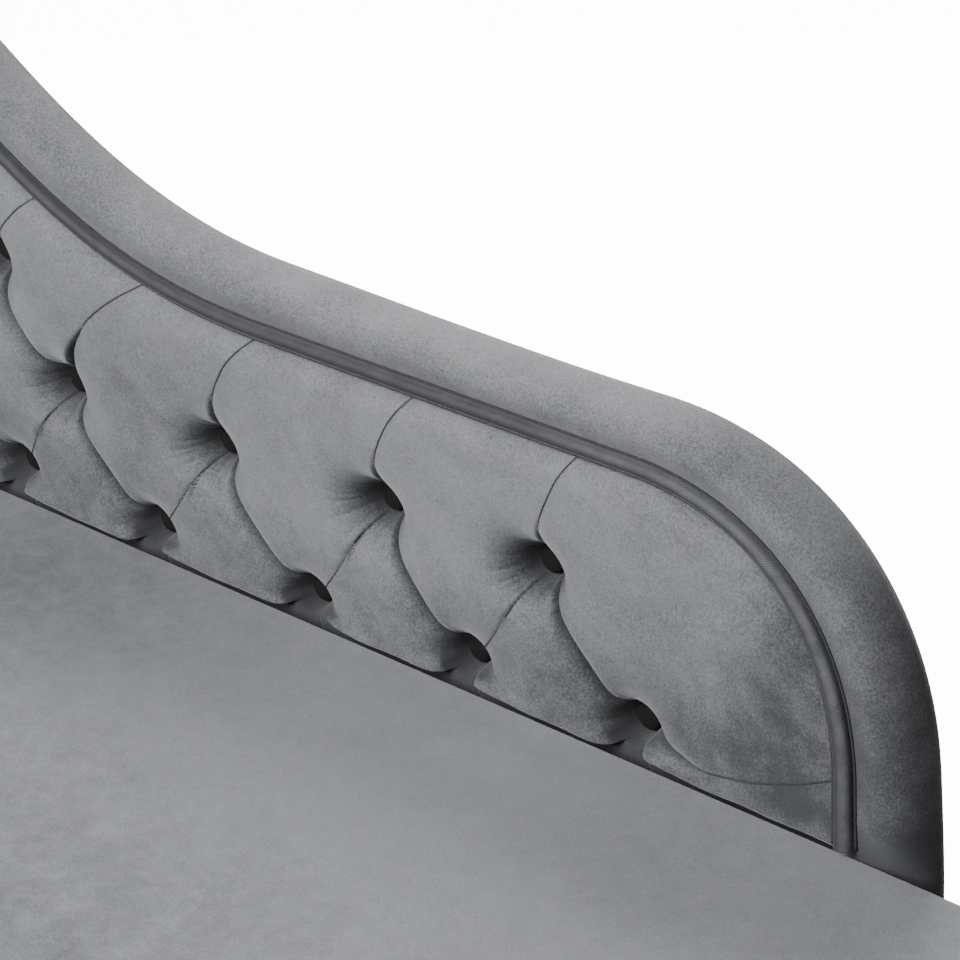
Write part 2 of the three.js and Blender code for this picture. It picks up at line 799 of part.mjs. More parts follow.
// A front of columns of points, with straight edges back to a flat face
function paddedSheet(columns, backY) {
  const rows = columns[0].length;
  const positions = columns.flat().flatMap((p) => [p.x, p.y, p.z]);
  const index = [];
  for (let i = 1; i < columns.length; i++) {
    for (let j = 1; j < rows; j++) {
      const a = (i - 1) * rows + j - 1;
      index.push(a, a + rows, a + rows + 1);
      index.push(a, a + rows + 1, a + 1);
    }
  }
  const last = columns.length - 1;
  const rim = [];
  for (let i = 0; i < last; i++) rim.push(i * rows);
  for (let j = 0; j < rows - 1; j++) rim.push(last * rows + j);
  for (let i = last; i > 0; i--) rim.push(i * rows + rows - 1);
  for (let j = rows - 1; j > 0; j--) rim.push(j);
  const first = positions.length / 3;
  const ring = rim.map((v) => new THREE.Vector3(positions[3 * v], backY, positions[3 * v + 2]));
  ring.forEach((p) => positions.push(p.x, p.y, p.z));
  rim.forEach((v, i) => {
    const next = (i + 1) % rim.length;
    index.push(v, first + i, first + next);
    index.push(v, first + next, rim[next]);
  });
  for (const [a, b, c] of capOf(ring)) index.push(first + c, first + b, first + a);
  return facingOut(positions, index);
}

function tuftedPanel() {
  const inset = rollFlange + gap;
  const arch = archPoints(archSteps);
  const places = buttonPlaces(arch);
  const seams = seamLines(arch, places);
  const top = offset(archPoints(archSteps), -inset);
  const floor = seatHeight - tuckDepth;
  const columns = top.map(([x, topZ]) => {
    const tucked = tuftAtSeat - gap;
    const column = [new THREE.Vector3(x, buttonSeat - tucked, floor)];
    for (let j = 0; j <= panelRows; j++) {
      const z = seatHeight + ((topZ - seatHeight) * j) / panelRows;
      const side = Math.min(x - lineHead, lineFoot - x) - inset;
      const edge = Math.min(distanceTo(top, x, z), side);
      column.push(new THREE.Vector3(x, buttonSeat - tuftHeight(x, z, edge, seams, places), z));
    }
    return column;
  });
  let panel = solid(paddedSheet(columns, panelBack));
  const clear = offset(armLine(), gap);
  panel = panel.subtract(solid(slab(clear, frontFace, baseRear + gap)));
  for (const { row, column, x, z } of places) {
    const mouth = buttonSeat - tuftCrest - overrun;
    const pocket = post(0, 0, mouth, buttonSeat, buttonRadius + pocketGap, buttonSides);
    panel = panel.subtract(solid(pocket.rotateX(-Math.PI / 2).translate(x, 0, z)));
    const profile = [
      [0, 0],
      [buttonRadius * 0.9, 0],
      [buttonRadius, buttonRim],
      [buttonRadius * 0.85, buttonRim + buttonDome * 0.5],
      [buttonRadius * 0.5, buttonRim + buttonDome * 0.87],
      [0, buttonRim + buttonDome],
    ].map(([r, h]) => new THREE.Vector2(r, h));
    const dome = new THREE.LatheGeometry(profile, buttonSides).rotateX(Math.PI);
    add(`button_${row + 1}_${column + 1}`, dome.translate(x, buttonSeat - gap, z), velvet);
  }
  add("tufted_panel", geometryOf(panel), velvet);
}

rails();
legs();
railCovers();
dustCover();
baseWelt();
seat();
arm();
backFrame();
backRoll();
backWelt();
tuftedPanel();

export default couch;
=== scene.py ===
import math

import bmesh
import bpy
import numpy as np
from mathutils import Matrix, Vector


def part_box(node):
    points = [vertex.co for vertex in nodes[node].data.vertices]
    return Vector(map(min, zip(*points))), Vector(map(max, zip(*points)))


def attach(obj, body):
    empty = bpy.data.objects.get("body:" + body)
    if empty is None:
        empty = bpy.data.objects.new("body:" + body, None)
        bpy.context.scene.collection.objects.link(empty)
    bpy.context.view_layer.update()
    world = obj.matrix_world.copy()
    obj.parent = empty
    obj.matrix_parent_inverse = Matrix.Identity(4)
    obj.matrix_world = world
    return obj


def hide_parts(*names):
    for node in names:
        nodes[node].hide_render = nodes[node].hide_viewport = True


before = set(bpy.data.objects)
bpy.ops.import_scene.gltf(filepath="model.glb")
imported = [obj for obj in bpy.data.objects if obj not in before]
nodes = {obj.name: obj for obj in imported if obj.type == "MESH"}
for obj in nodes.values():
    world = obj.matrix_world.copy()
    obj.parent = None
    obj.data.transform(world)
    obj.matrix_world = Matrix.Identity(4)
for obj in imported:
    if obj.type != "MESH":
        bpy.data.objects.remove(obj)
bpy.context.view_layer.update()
print("frame loaded with", len(nodes), "CAD nodes")

# Everything is in metres: X from the head end to the foot end, Y from front to rear, Z up from the floor.


# Material helpers

def put(tree, kind, sockets=None, **settings):
    node = tree.nodes.new(kind)
    for key, value in settings.items():
        setattr(node, key, value)
    for key, value in (sockets or {}).items():
        if isinstance(value, bpy.types.NodeSocket):
            tree.links.new(value, node.inputs[key])
        else:
            node.inputs[key].default_value = value
    return node


def maths(tree, operation, *values):
    return put(tree, "ShaderNodeMath", dict(enumerate(values)), operation=operation).outputs[0]


def noise(tree, place, scale, detail, roughness=0.5, distortion=0.0):
    return put(tree, "ShaderNodeTexNoise", {
        "Vector": place, "Scale": scale, "Detail": detail, "Roughness": roughness,
        "Distortion": distortion}).outputs["Fac"]


def objectPlace(tree):
    return put(tree, "ShaderNodeTexCoord").outputs["Object"]


def newGroup(name, inputs, outputs):
    group = bpy.data.node_groups.new(name, "ShaderNodeTree")
    for label, value in inputs.items():
        socket = group.interface.new_socket(
            name=label, in_out="INPUT", socket_type="NodeSocketFloat")
        socket.default_value = value
    for label in outputs:
        group.interface.new_socket(name=label, in_out="OUTPUT", socket_type="NodeSocketFloat")
    start = group.nodes.new("NodeGroupInput")
    end = group.nodes.new("NodeGroupOutput")
    return group, start.outputs, end.inputs


def useGroup(tree, group, values):
    node = tree.nodes.new("ShaderNodeGroup")
    node.node_tree = group
    for key, value in values.items():
        node.inputs[key].default_value = value
    return node.outputs


def newMaterial(name, roughness, **constants):
    material = bpy.data.materials.new(name)
    material.use_nodes = True
    sockets = material.node_tree.nodes["Principled BSDF"].inputs
    sockets["Roughness"].default_value = roughness
    for key, value in constants.items():
        sockets[key.replace("_", " ")].default_value = value
    return material, material.node_tree


def paint(tree, factor, first, second):
    # the RGBA sockets of a Mix node are found by number
    blend = put(tree, "ShaderNodeMix", {
        0: factor, 6: (*first, 1.0), 7: (*second, 1.0)}, data_type="RGBA")
    tree.links.new(blend.outputs[2], tree.nodes["Principled BSDF"].inputs["Base Color"])


def roughen(tree, height, strength, depth):
    bump = put(tree, "ShaderNodeBump", {"Strength": strength, "Distance": depth, "Height": height})
    tree.links.new(bump.outputs[0], tree.nodes["Principled BSDF"].inputs["Normal"])


# Brushed pile: cloudy hand marks, smaller mottling, flecks and the short pile itself
def makeNap():
    group, given, out = newGroup(
        "velvetNap",
        {"Cloud Scale": 9.0, "Cloud Edge": 0.16, "Fleck Scale": 900.0},
        ["Cloud", "Mottle", "Fleck", "Pile"])
    place = objectPlace(group)
    shaped = put(group, "ShaderNodeMapRange", {
        "Value": noise(group, place, given["Cloud Scale"], detail=6.0, roughness=0.62, distortion=0.5),
        "From Min": maths(group, "SUBTRACT", 0.5, given["Cloud Edge"]),
        "From Max": maths(group, "ADD", 0.5, given["Cloud Edge"])}, interpolation_type="SMOOTHSTEP")
    mottle = noise(group, place, scale=75.0, detail=5.0, roughness=0.65)
    fleck = noise(group, place, given["Fleck Scale"], detail=2.0, roughness=0.6)
    pile = noise(group, place, scale=1500.0, detail=2.0, roughness=0.6)
    for label, value in (
            ("Cloud", shaped.outputs[0]), ("Mottle", mottle), ("Fleck", fleck), ("Pile", pile)):
        group.links.new(value, out[label])
    return group


velvetNap = makeNap()

velvetFinish = {
    "cloudScale": 9.0,
    "cloudEdge": 0.16,
    "fleckScale": 640.0,
    "strength": 1.0,
    "light": (0.190, 0.195, 0.203),
    "dark": (0.032, 0.033, 0.036),
    "cloudShare": 0.22,
    "mottleShare": 0.30,
    "fleckShare": 1.15,
    "shadeShare": 0.96,
    "shadeMottle": 0.96,
    "shadeEven": 0.52,
    "ground": -0.38,
    "toneFrom": -0.15,
    "toneTo": 1.35,
    "roughness": 0.85,
    "specular": 0.2,
    "sheen": 0.30,
    "sheenSpread": 0.45,
    "sheenTint": (0.86, 0.88, 0.92, 1.0),
    "pileDepth": 0.0008,
}


def makeVelvet(name, **changes):
    v = {**velvetFinish, **changes}
    material, tree = newMaterial(
        name, v["roughness"], Sheen_Weight=v["sheen"] * v["strength"],
        Sheen_Roughness=v["sheenSpread"], Sheen_Tint=v["sheenTint"],
        Specular_IOR_Level=v["specular"])
    nap = useGroup(tree, velvetNap, {
        "Cloud Scale": v["cloudScale"], "Cloud Edge": v["cloudEdge"], "Fleck Scale": v["fleckScale"]})
    # The "shade" attribute darkens the colour: painted shade in pockets, seams, contacts and at the ends,
    # plus nap marks, broken up by the mottling
    uneven = maths(tree, "MULTIPLY_ADD", nap["Mottle"], v["shadeMottle"], v["shadeEven"])
    shade = put(tree, "ShaderNodeAttribute", attribute_name="shade").outputs["Fac"]
    paintedShade = maths(tree, "MULTIPLY", shade, uneven)
    total = v["ground"]
    for part, share in (
            (nap["Cloud"], v["cloudShare"]), (nap["Mottle"], v["mottleShare"]),
            (nap["Fleck"], v["fleckShare"]), (paintedShade, v["shadeShare"])):
        total = maths(tree, "MULTIPLY_ADD", part, share, total)
    eased = put(tree, "ShaderNodeMapRange", {
        "Value": total, "From Min": v["toneFrom"], "From Max": v["toneTo"]},
        interpolation_type="SMOOTHSTEP")
    light, dark = ([v["strength"] * c for c in v[tone]] for tone in ("light", "dark"))
    paint(tree, eased.outputs[0], light, dark)
    roughen(tree, nap["Pile"], strength=0.5, depth=v["pileDepth"])
    return material


velvet = makeVelvet("greyVelvet")
seatVelvet = makeVelvet("greyVelvetSeat", cloudScale=6.5, cloudEdge=0.24, cloudShare=0.16,
                        fleckShare=0.62, ground=-0.115, strength=1.10)
rollVelvet = makeVelvet("greyVelvetRoll", cloudScale=8.0, cloudEdge=0.18, cloudShare=0.26, ground=-0.25)
# The buttons' velvet is made near-black, partly painted shade of their deep pockets, partly a darker nap
buttonVelvet = makeVelvet("greyVelvetButton", cloudScale=40.0, strength=0.03)
print("velvet made")

# footEnd and straight: how far along the cord, and how bright it is there; the brighter upright run at
# the foot end is a painted highlight
pipingFinish = {
    "light": (0.118, 0.121, 0.127),
    "dark": (0.008, 0.008, 0.009),
    "footEnd": (0.12, 1.40),
    "straight": (0.42, 0.44),
    "ribPitch": 0.0014,
    "waveLength": 0.314,
    "ribSlant": 0.7,
    "ribShare": 0.35,
    "ribDepth": 0.0004,
    "girth": 0.030,
    "litFrom": -0.03,
    "flankFrom": -0.1,
    "flankLeast": 0.08,
}


def makePiping():
    v = pipingFinish
    material, tree = newMaterial(
        "pipingVelvet", 0.7, Sheen_Weight=0.25, Sheen_Roughness=0.4,
        Sheen_Tint=velvetFinish["sheenTint"], Specular_IOR_Level=0.35)
    nap = useGroup(tree, velvetNap, {"Cloud Scale": 16.0, "Fleck Scale": 1100.0})
    lengths = put(tree, "ShaderNodeUVMap", uv_map="UVMap").outputs[0]
    slant = put(tree, "ShaderNodeMapping", {"Vector": lengths, "Rotation": (0.0, 0.0, v["ribSlant"])})
    ribs = put(tree, "ShaderNodeTexWave", {
        "Vector": slant.outputs[0], "Scale": v["waveLength"] / v["ribPitch"],
        "Distortion": 2.5, "Detail": 2.0}, wave_type="BANDS").outputs["Fac"]
    mixed = maths(tree, "MULTIPLY_ADD", ribs, v["ribShare"], nap["Mottle"])
    split = put(tree, "ShaderNodeSeparateXYZ", {0: lengths}).outputs
    turn = maths(
        tree, "MULTIPLY_ADD", split[1], 2 * math.pi / v["girth"], -2 * math.pi * v["litFrom"])
    paintedFlank = put(tree, "ShaderNodeMapRange", {  # painted shade: the bead darker on its inner side, lighter on the side the light comes from
        "Value": maths(tree, "COSINE", turn), "From Min": v["flankFrom"], "From Max": 1.0,
        "To Min": v["flankLeast"], "To Max": 1.0})
    (footEnd, footShare), (straight, straightShare) = v["footEnd"], v["straight"]
    along = put(tree, "ShaderNodeMapRange", {
        "Value": split[0], "From Min": footEnd, "From Max": straight,
        "To Min": footShare, "To Max": straightShare})
    ribbedAndLitAlong = maths(tree, "MULTIPLY", mixed, along.outputs[0])
    paint(tree, maths(tree, "MULTIPLY", ribbedAndLitAlong, paintedFlank.outputs[0]), v["dark"], v["light"])
    roughen(tree, ribs, strength=0.35, depth=v["ribDepth"])
    return material


piping = makePiping()


# A plain colour broken up by one fine noise, for thread, nylon and the floor
def makeSpeckled(name, dark, light, roughness, scale, detail, depth=0.0, **constants):
    material, tree = newMaterial(name, roughness, **constants)
    speckle = noise(tree, objectPlace(tree), scale, detail)
    paint(tree, speckle, dark, light)
    if depth:
        roughen(tree, speckle, strength=0.2, depth=depth)
    return material


# Near-black thread for the seam lines, which also stands in as painted shade in creases and beside the
# piping
thread = makeSpeckled("darkThreadCreaseShade", (0.012, 0.012, 0.014), (0.05, 0.05, 0.055),
                      roughness=0.75, scale=450.0, detail=2.0, Specular_IOR_Level=0.2)
nylon = makeSpeckled("blackNylon", (0.015, 0.015, 0.016), (0.05, 0.05, 0.052),
                     roughness=0.45, scale=180.0, detail=5.0, depth=0.0003)


# Long grain for timber, with fine pores
def makeGrain():
    group, given, out = newGroup(
        "timberGrain", {"Along": 14.0, "Upwards": 1.0, "Ring Scale": 60.0}, ["Figure", "Pores"])
    place = objectPlace(group)
    split = put(group, "ShaderNodeSeparateXYZ", {0: place}).outputs
    squeezed = put(group, "ShaderNodeCombineXYZ", {
        0: maths(group, "DIVIDE", split[0], given["Along"]), 1: split[1],
        2: maths(group, "DIVIDE", split[2], given["Upwards"])}).outputs[0]
    rings = noise(group, place, scale=4.0, detail=2.0, distortion=0.3)
    figure = noise(
        group, squeezed, given["Ring Scale"], detail=5.0, roughness=0.6, distortion=0.8)
    doubled = maths(group, "MULTIPLY", maths(group, "MULTIPLY", figure, rings), 2.0)
    group.links.new(doubled, out["Figure"])
    group.links.new(noise(group, squeezed, scale=420.0, detail=2.0), out["Pores"])
    return group


timberGrain = makeGrain()


def makeTimber(name, light, dark, roughness, along, upwards, ringScale, coat=0.0):
    material, tree = newMaterial(name, roughness, Coat_Weight=coat, Coat_Roughness=0.2)
    grain = useGroup(
        tree, timberGrain, {"Along": along, "Upwards": upwards, "Ring Scale": ringScale})
    paint(tree, grain["Figure"], light, dark)
    roughen(tree, grain["Pores"], strength=0.2, depth=0.0004)
    return material


frameWood = makeTimber("framePine", (0.56, 0.38, 0.21), (0.33, 0.19, 0.09),
                       roughness=0.7, along=14.0, upwards=1.0, ringScale=70.0)
legWood = makeTimber("stainedBeech", (0.100, 0.038, 0.015), (0.026, 0.009, 0.004),
                     roughness=0.42, along=1.0, upwards=9.0, ringScale=130.0, coat=0.15)
board = makeTimber("plyBoard", (0.52, 0.37, 0.22), (0.36, 0.24, 0.13),
                   roughness=0.75, along=6.0, upwards=1.0, ringScale=40.0)


# Threads crossing over and under, from the piece's own place in space
def makeWeave():
    group, given, out = newGroup("crossWeave", {"Thread Scale": 300.0}, ["Over", "Fibre"])
    place = objectPlace(group)
    warp, weft = (
        put(group, "ShaderNodeTexWave", {"Vector": place, "Scale": given["Thread Scale"]},
            bands_direction=way).outputs["Fac"]
        for way in "XY")
    group.links.new(maths(group, "MAXIMUM", warp, weft), out["Over"])
    group.links.new(noise(group, place, scale=260.0, detail=4.0), out["Fibre"])
    return group


crossWeave = makeWeave()


def makeCloth(name, light, dark, threadScale):
    material, tree = newMaterial(name, 0.9, Specular_IOR_Level=0.15)
    weave = useGroup(tree, crossWeave, {"Thread Scale": threadScale})
    paint(tree, maths(tree, "MULTIPLY", weave["Over"], weave["Fibre"]), dark, light)
    roughen(tree, weave["Over"], strength=0.5, depth=0.0006)
    return material


cambric = makeCloth("blackCambric", (0.045, 0.045, 0.047), (0.012, 0.012, 0.013), 260.0)
webbing = makeCloth("seatWebbing", (0.16, 0.16, 0.155), (0.05, 0.05, 0.05), 110.0)
felt = makeCloth("greyFelt", (0.52, 0.50, 0.46), (0.34, 0.33, 0.30), 500.0)
print("materials made")


# Mesh helpers

mergeDistance = 0.00001
levelTolerance = 0.0001
seamAngle = 50
allSmooth = 180


def addObject(name, data):
    added = bpy.data.objects.new(name, data)
    bpy.context.scene.collection.objects.link(added)
    return added


def meshFrom(name, bm):
    mesh = bpy.data.meshes.new(name)
    bm.to_mesh(mesh)
    bm.free()
    return mesh


def joinInto(bm, part):
    mesh = meshFrom("joinedPart", part)
    bm.from_mesh(mesh)
    bpy.data.meshes.remove(mesh)


def pieceFrom(name, bm, material, smoothAngle):
    bmesh.ops.recalc_face_normals(bm, faces=bm.faces)
    mesh = meshFrom(name, bm)
    mesh.shade_smooth()
    if smoothAngle < allSmooth:
        mesh.set_sharp_from_angle(angle=math.radians(smoothAngle))
    mesh.materials.append(material)
    piece = addObject(name, mesh)
    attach(piece, "root")
    return piece


def placesOf(bm):
    return np.array([vert.co[:] for vert in bm.verts]).T


# A flat grid whose points are then put in place by their whole-number steps
def gridShape(across, along, place, size=(1.0, 1.0)):
    bm = bmesh.new()
    layer = bm.loops.layers.uv.new("UVMap")
    bmesh.ops.create_grid(bm, x_segments=across, y_segments=along, size=0.5, calc_uvs=True)
    flat = np.array([(v.co.x, v.co.y) for v in bm.verts])
    flat = (flat - flat.min(0)) / (flat.max(0) - flat.min(0))
    i = np.rint(flat[:, 0] * across).astype(int)
    j = np.rint(flat[:, 1] * along).astype(int)
    for face in bm.faces:
        for loop in face.loops:
            spot = loop[layer].uv
            loop[layer].uv = (spot[0] * size[0], spot[1] * size[1])
    for vert, spot in zip(bm.verts, place(i, j)):
        vert.co = spot
    return bm


def closeShape(bm):
    bmesh.ops.remove_doubles(bm, verts=bm.verts, dist=mergeDistance)
    bmesh.ops.holes_fill(bm, edges=bm.edges, sides=0)
    return bm


# A flat sheet's edge is drawn along Y to a depth and closed there
def thicken(bm, depth):
    rim = [e for e in bm.edges if e.is_boundary]
    grown = bmesh.ops.extrude_edge_only(bm, edges=rim)["geom"]
    for vert in grown:
        if isinstance(vert, bmesh.types.BMVert):
            vert.co.y = depth
    bmesh.ops.holes_fill(bm, edges=[e for e in bm.edges if e.is_boundary], sides=0)


# A profile of (radius, height) points turned once round Z
def turnedShape(profile, sides):
    bm = bmesh.new()
    verts = [bm.verts.new((out, 0, up)) for out, up in profile]
    edges = [bm.edges.new(pair) for pair in zip(verts, verts[1:])]
    bmesh.ops.spin(
        bm, geom=verts + edges, cent=(0, 0, 0), axis=(0, 0, 1), dvec=(0, 0, 0),
        angle=2 * math.pi, steps=sides, use_merge=True, use_duplicate=False)
    bmesh.ops.remove_doubles(bm, verts=bm.verts, dist=mergeDistance)
    return bm


# A closed ring of edges through the points
def ringOf(bm, points):
    verts = [bm.verts.new(point) for point in points]
    return [bm.edges.new(pair) for pair in zip(verts, verts[1:] + verts[:1])]


def evenPoints(line, count):
    line = np.asarray(line, float)
    run = np.concatenate([[0], np.cumsum(np.hypot(*np.diff(line, axis=0).T))])
    steps = np.linspace(0, run[-1], count + 1)
    return np.stack([np.interp(steps, run, line[:, k]) for k in range(2)], 1)


def lengthOf(line):
    return float(np.hypot(*np.diff(np.asarray(line), axis=0).T).sum())


# Unit directions square to a line of [x, z] points, to its right as it runs
def outwards(line):
    ahead = np.gradient(np.asarray(line, float), axis=0)
    ahead /= np.hypot(ahead[:, 0], ahead[:, 1])[:, None]
    return np.stack([ahead[:, 1], -ahead[:, 0]], 1)


def offsetLine(line, distance):
    return np.asarray(line) + outwards(line) * distance


# Corners are cut round a few times, the two ends kept
def cutCorners(line, times):
    for _ in range(times):
        a, b = line[:-1], line[1:]
        cut = np.stack([0.75 * a + 0.25 * b, 0.25 * a + 0.75 * b], 1).reshape(-1, 2)
        line = np.vstack([line[:1], cut, line[-1:]])
    return line


# Gentle unevenness, the same each run: a sum of long waves whose ways and lengths never line up
def unevenness(x, y, z, reach, seed=0.0):
    waves, wholeTurn, total = 7, 6.283, 0
    for k in range(waves):
        turn = 1.7 * k + seed
        way = (math.cos(turn), math.sin(turn * 1.3), math.sin(turn + 0.6))
        pitch = wholeTurn / (reach * (0.7 + 0.17 * k))
        total = total + np.sin((x * way[0] + y * way[1] + z * way[2]) * pitch + 2.1 * k + seed)
    return total / (waves / 2)


# A tube along [x, z] points, or round a closed ring of them when no steps are given
def tubeAlong(line, section, sides, steps=None):
    if steps:
        path = evenPoints(line, steps)
        side = outwards(path)
    else:  # the ring runs on past its ends, so that they meet
        wrapped = np.vstack([line[-1:], line, line[:2]])
        path, side = wrapped[1:-1], outwards(wrapped)[1:-1]
        steps = len(line)

    def place(i, j):
        out, level = section(i / steps, j / sides)
        x = path[i, 0] + side[i, 0] * out
        z = path[i, 1] + side[i, 1] * out
        return np.stack([x, level, z], 1)
    return closeShape(gridShape(steps, sides, place, (lengthOf(path), pipingFinish["girth"])))


# A round section whose radius and middle are functions of the share along the line
def roundSection(radiusAt, middleAt):
    def section(share, around):
        turn = 2 * math.pi * around
        return radiusAt(share) * np.cos(turn), middleAt(share) + radiusAt(share) * np.sin(turn)
    return section


def weltSection(v):
    return roundSection(lambda _: v["weltRadius"], lambda _: v["weltLevel"])


# Darker patches, partly brushed nap and partly painted shade (by the seat, at the foot end, where less
# light reaches): across, up, reach both ways and strength
napAndShadeMarks = {
    "back": [
        (0.389, 0.574, 0.040, 0.060, 0.40), (0.380, 0.490, 0.045, 0.045, 0.36),
        (0.355, 0.540, 0.050, 0.050, 0.20), (0.325, 0.640, 0.050, 0.012, 0.18),
        (-0.198, 0.557, 0.060, 0.050, 0.30), (-0.360, 0.500, 0.060, 0.060, 0.12),
        (0.320, 0.470, 0.045, 0.020, 0.22), (0.387, 0.448, 0.040, 0.014, 0.30),
        (0.190, 0.467, 0.030, 0.030, 0.10),
    ],
    "roll": [
        (0.352, 0.682, 0.045, 0.020, 0.24), (0.438, 0.590, 0.030, 0.050, 0.05),
        (0.455, 0.500, 0.035, 0.090, 0.30), (0.456, 0.432, 0.060, 0.026, 0.45),
        (0.380, 0.655, 0.020, 0.020, 0.10), (0.470, 0.300, 0.060, 0.160, 0.25),
    ],
    "seat": [
        (-0.240, 0.190, 0.160, 0.120, 0.42), (0.240, -0.010, 0.060, 0.030, 0.06),
        (0.070, -0.120, 0.240, 0.130, 0.38), (-0.060, 0.030, 0.120, 0.080, 0.14),
        (0.380, 0.200, 0.160, 0.080, 0.05), (0.110, 0.240, 0.200, 0.015, 0.08),
    ],
}


# Sums the darker patches: nap marks and painted shade
def markedNapAndShade(marks, across, up):
    total = np.zeros(len(across))
    ragged = 1 + 0.2 * unevenness(across, 0, up, reach=0.050, seed=4.0)
    for x, z, wide, tall, strength in marks:
        total += strength * ragged * np.exp(-((across - x) / wide) ** 2 - ((up - z) / tall) ** 2)
    return total


def setShade(bm, values):
    layer = bm.verts.layers.float.new("shade")
    for vert, value in zip(bm.verts, values):
        vert[layer] = value


# The back's piping line, from the foot end's round to the head end's

backLine = {
    "foot": 0.417,
    "head": -0.751,
    "seat": 0.430,
    "low": 0.6475,
    "high": 0.818,
    "footRound": (0.157, 0.1655),
    "sweep": 0.300,
    "crown": 0.200,
    "headRound": (0.191, 0.173),
    "footShare": 0.62,
    "headShare": 0.6,
    "slope": 0.68,
    "turnShare": 0.59,
    "crownReach": 0.35,
    "peakReach": 0.325,
    "footReach": 0.4,
}


def cubic(a, b, c, d, steps=200):
    t = np.linspace(0, 1, steps)[:, None]
    a, b, c, d = (np.array(p, float) for p in (a, b, c, d))
    return (1 - t) ** 3 * a + 3 * (1 - t) ** 2 * t * b + 3 * (1 - t) * t * t * c + t ** 3 * d


def archPoints(count):
    v = backLine
    foot, head, low, high = v["foot"], v["head"], v["low"], v["high"]
    footWide, footTall = v["footRound"]
    headWide, headTall = v["headRound"]
    lowFoot = foot - footWide
    peak = head + headWide
    turn = peak + v["crown"]
    lowHead = turn + v["sweep"]
    turnZ = low + v["turnShare"] * (high - low)
    reach = v["sweep"] / 3
    crownReach = v["crownReach"] * v["crown"]
    line = [
        cubic((foot, low - footTall), (foot, low - (1 - v["footShare"]) * footTall),
              (lowFoot + v["footShare"] * footWide, low), (lowFoot, low)),
        cubic((lowHead, low), (lowHead - v["footReach"] * v["sweep"], low),
              (turn + reach, turnZ - v["slope"] * reach), (turn, turnZ)),
        cubic((turn, turnZ), (turn - crownReach, turnZ + v["slope"] * crownReach),
              (peak + v["peakReach"] * v["crown"], high), (peak, high))[1:],
        cubic((peak, high), (peak - v["headShare"] * headWide, high),
              (head, high - (1 - v["headShare"]) * headTall), (head, high - headTall))[1:],
    ]
    return evenPoints(np.vstack(line), count)


def backOutline(count, bottom):
    return np.vstack([
        [backLine["foot"], bottom], archPoints(count), [backLine["head"], bottom]])


# The tufted inside back

tufting = {
    "pitch": 0.150,
    "rowPitch": 0.0894,
    "mostRows": 5,
    "mostColumns": 8,
    "firstRow": 0.0104,
    "lastButtonInset": 0.177,
    "buttonMargin": 0.060,
    "armInside": -0.622,
    "buttonRadius": 0.011,
    "shifts": [
        [(-0.01, 0.03), (0.015, 0), (0.03, -0.05), (-0.015, -0.01), (-0.01, 0.04)],
        [(-0.02, 0.05), (0.04, 0.05), (-0.015, -0.015), (-0.07, 0)],
    ],
    "buttonPlane": 0.298,
    "back": 0.3017,
    "floor": 0.400,
    "inset": 0.0083,
    "crest": 0.046,
    "lowCrest": 0.0345,
    "fullFrom": 0.470,
    "fullRise": 0.170,
    "edgeStand": 0.034,
    "edgeReach": 0.007,
    "seatStand": 0.020,
    "seatReach": 0.0035,
    "seatGap": -0.0035,
    "seamGap": 0.0075,
    "seamGapReach": (0.011, 0.026),
    "armStand": 0.0360,
    "tuckStand": 0.0362,
    "tuckTop": 0.412,
    "middles": {"right": (0.0175, 0.6), "left": (0.91, 0.12)},
    "highSeam": 0.75,
    "slack": 0.48,
    "slackFrom": 0.022,
    "sides": {
        "right": {"open": (0.765, 0.645), "tight": 0.007},
        "left": {"open": (-0.765, 0.645), "gentle": 0.003, "tight": 0.003},
        "top": {"open": (0.9, -0.4), "gentle": 0.016, "tight": 0.008},
        "side": {"open": (0.0, 1.0), "gentle": 0.008, "tight": 0.006},
        "down": {"open": (1.0, 0.0), "gentle": 0.002, "tight": 0.004},
    },
    "seamSteps": 10,
    "downLean": 0.020,
    "downStand": (0.006, 0.068, 0.023),
    "topSeamEnd": 0.0470,
    "topSeamPower": 2.6,
    "topLeans": {(1, 0): 0.053, (1, 1): 0.056, (1, 2): 0.069, (1, 3): 0.121, (2, 4): 0.081},
    "topBows": {(1, 0): 0.07, (1, 1): 0.12, (1, 2): 0.15, (1, 3): 0.14, (2, 4): 0.03},
    "topLean": 0.070,
    "topBow": 0.15,
    "sideSeamRise": 0.041,
    "sideBow": -0.17,
    "lowerBow": -0.02,
    "leftBow": 0.15,
    "dimple": {"narrow": 0.0070, "wide": 0.70, "wideFrom": 0.0093, "power": 1.5,
               "below": 0.0040, "belowShare": 3.0, "side": 0.34},
    "seamReach": 0.11,
    "blend": 4,
    "wave": 0.0010,
    "waveReach": 0.07,
    "leastStand": 0.0004,
    "armFade": 0.012,
    "snap": 0.00045,
    "fineReach": 0.005,
    "fineAround": 0.024,
    "columns": 560,
    "rows": 170,
}

# Small folds that run out of each button: their angles, how deep and wide, and how far out they lie
folds = {
    "count": 10,
    "first": 1.75,
    "step": 0.36,
    "sway": 0.14,
    "depth": 0.0012,
    "width": 0.0014,
    "out": 0.018,
    "shortest": 0.010,
    "longer": 0.009,
    "reach": 0.06,
}

# Painted shade: how much darker the pile is made in pockets, on the lowest tufts, behind the seat, in
# wedges and at seams
tuftShade = {
    "pocket": 1.3,
    "lowRow": 0.30,
    "lowRowTop": 0.515,
    "lowRowFade": 0.045,
    "hidden": 0.9,
    "hiddenBelow": 0.002,
    "hiddenFade": 0.003,
    "wedge": 0.8,
    "wedgeRise": 0.011,
    "wedgeFade": 0.008,
    "wedgeStand": 0.0285,
    "wedgeDepth": 0.006,
    "seams": {"down": (0.75, 0.009), "other": (0.45, 0.0008)},
}


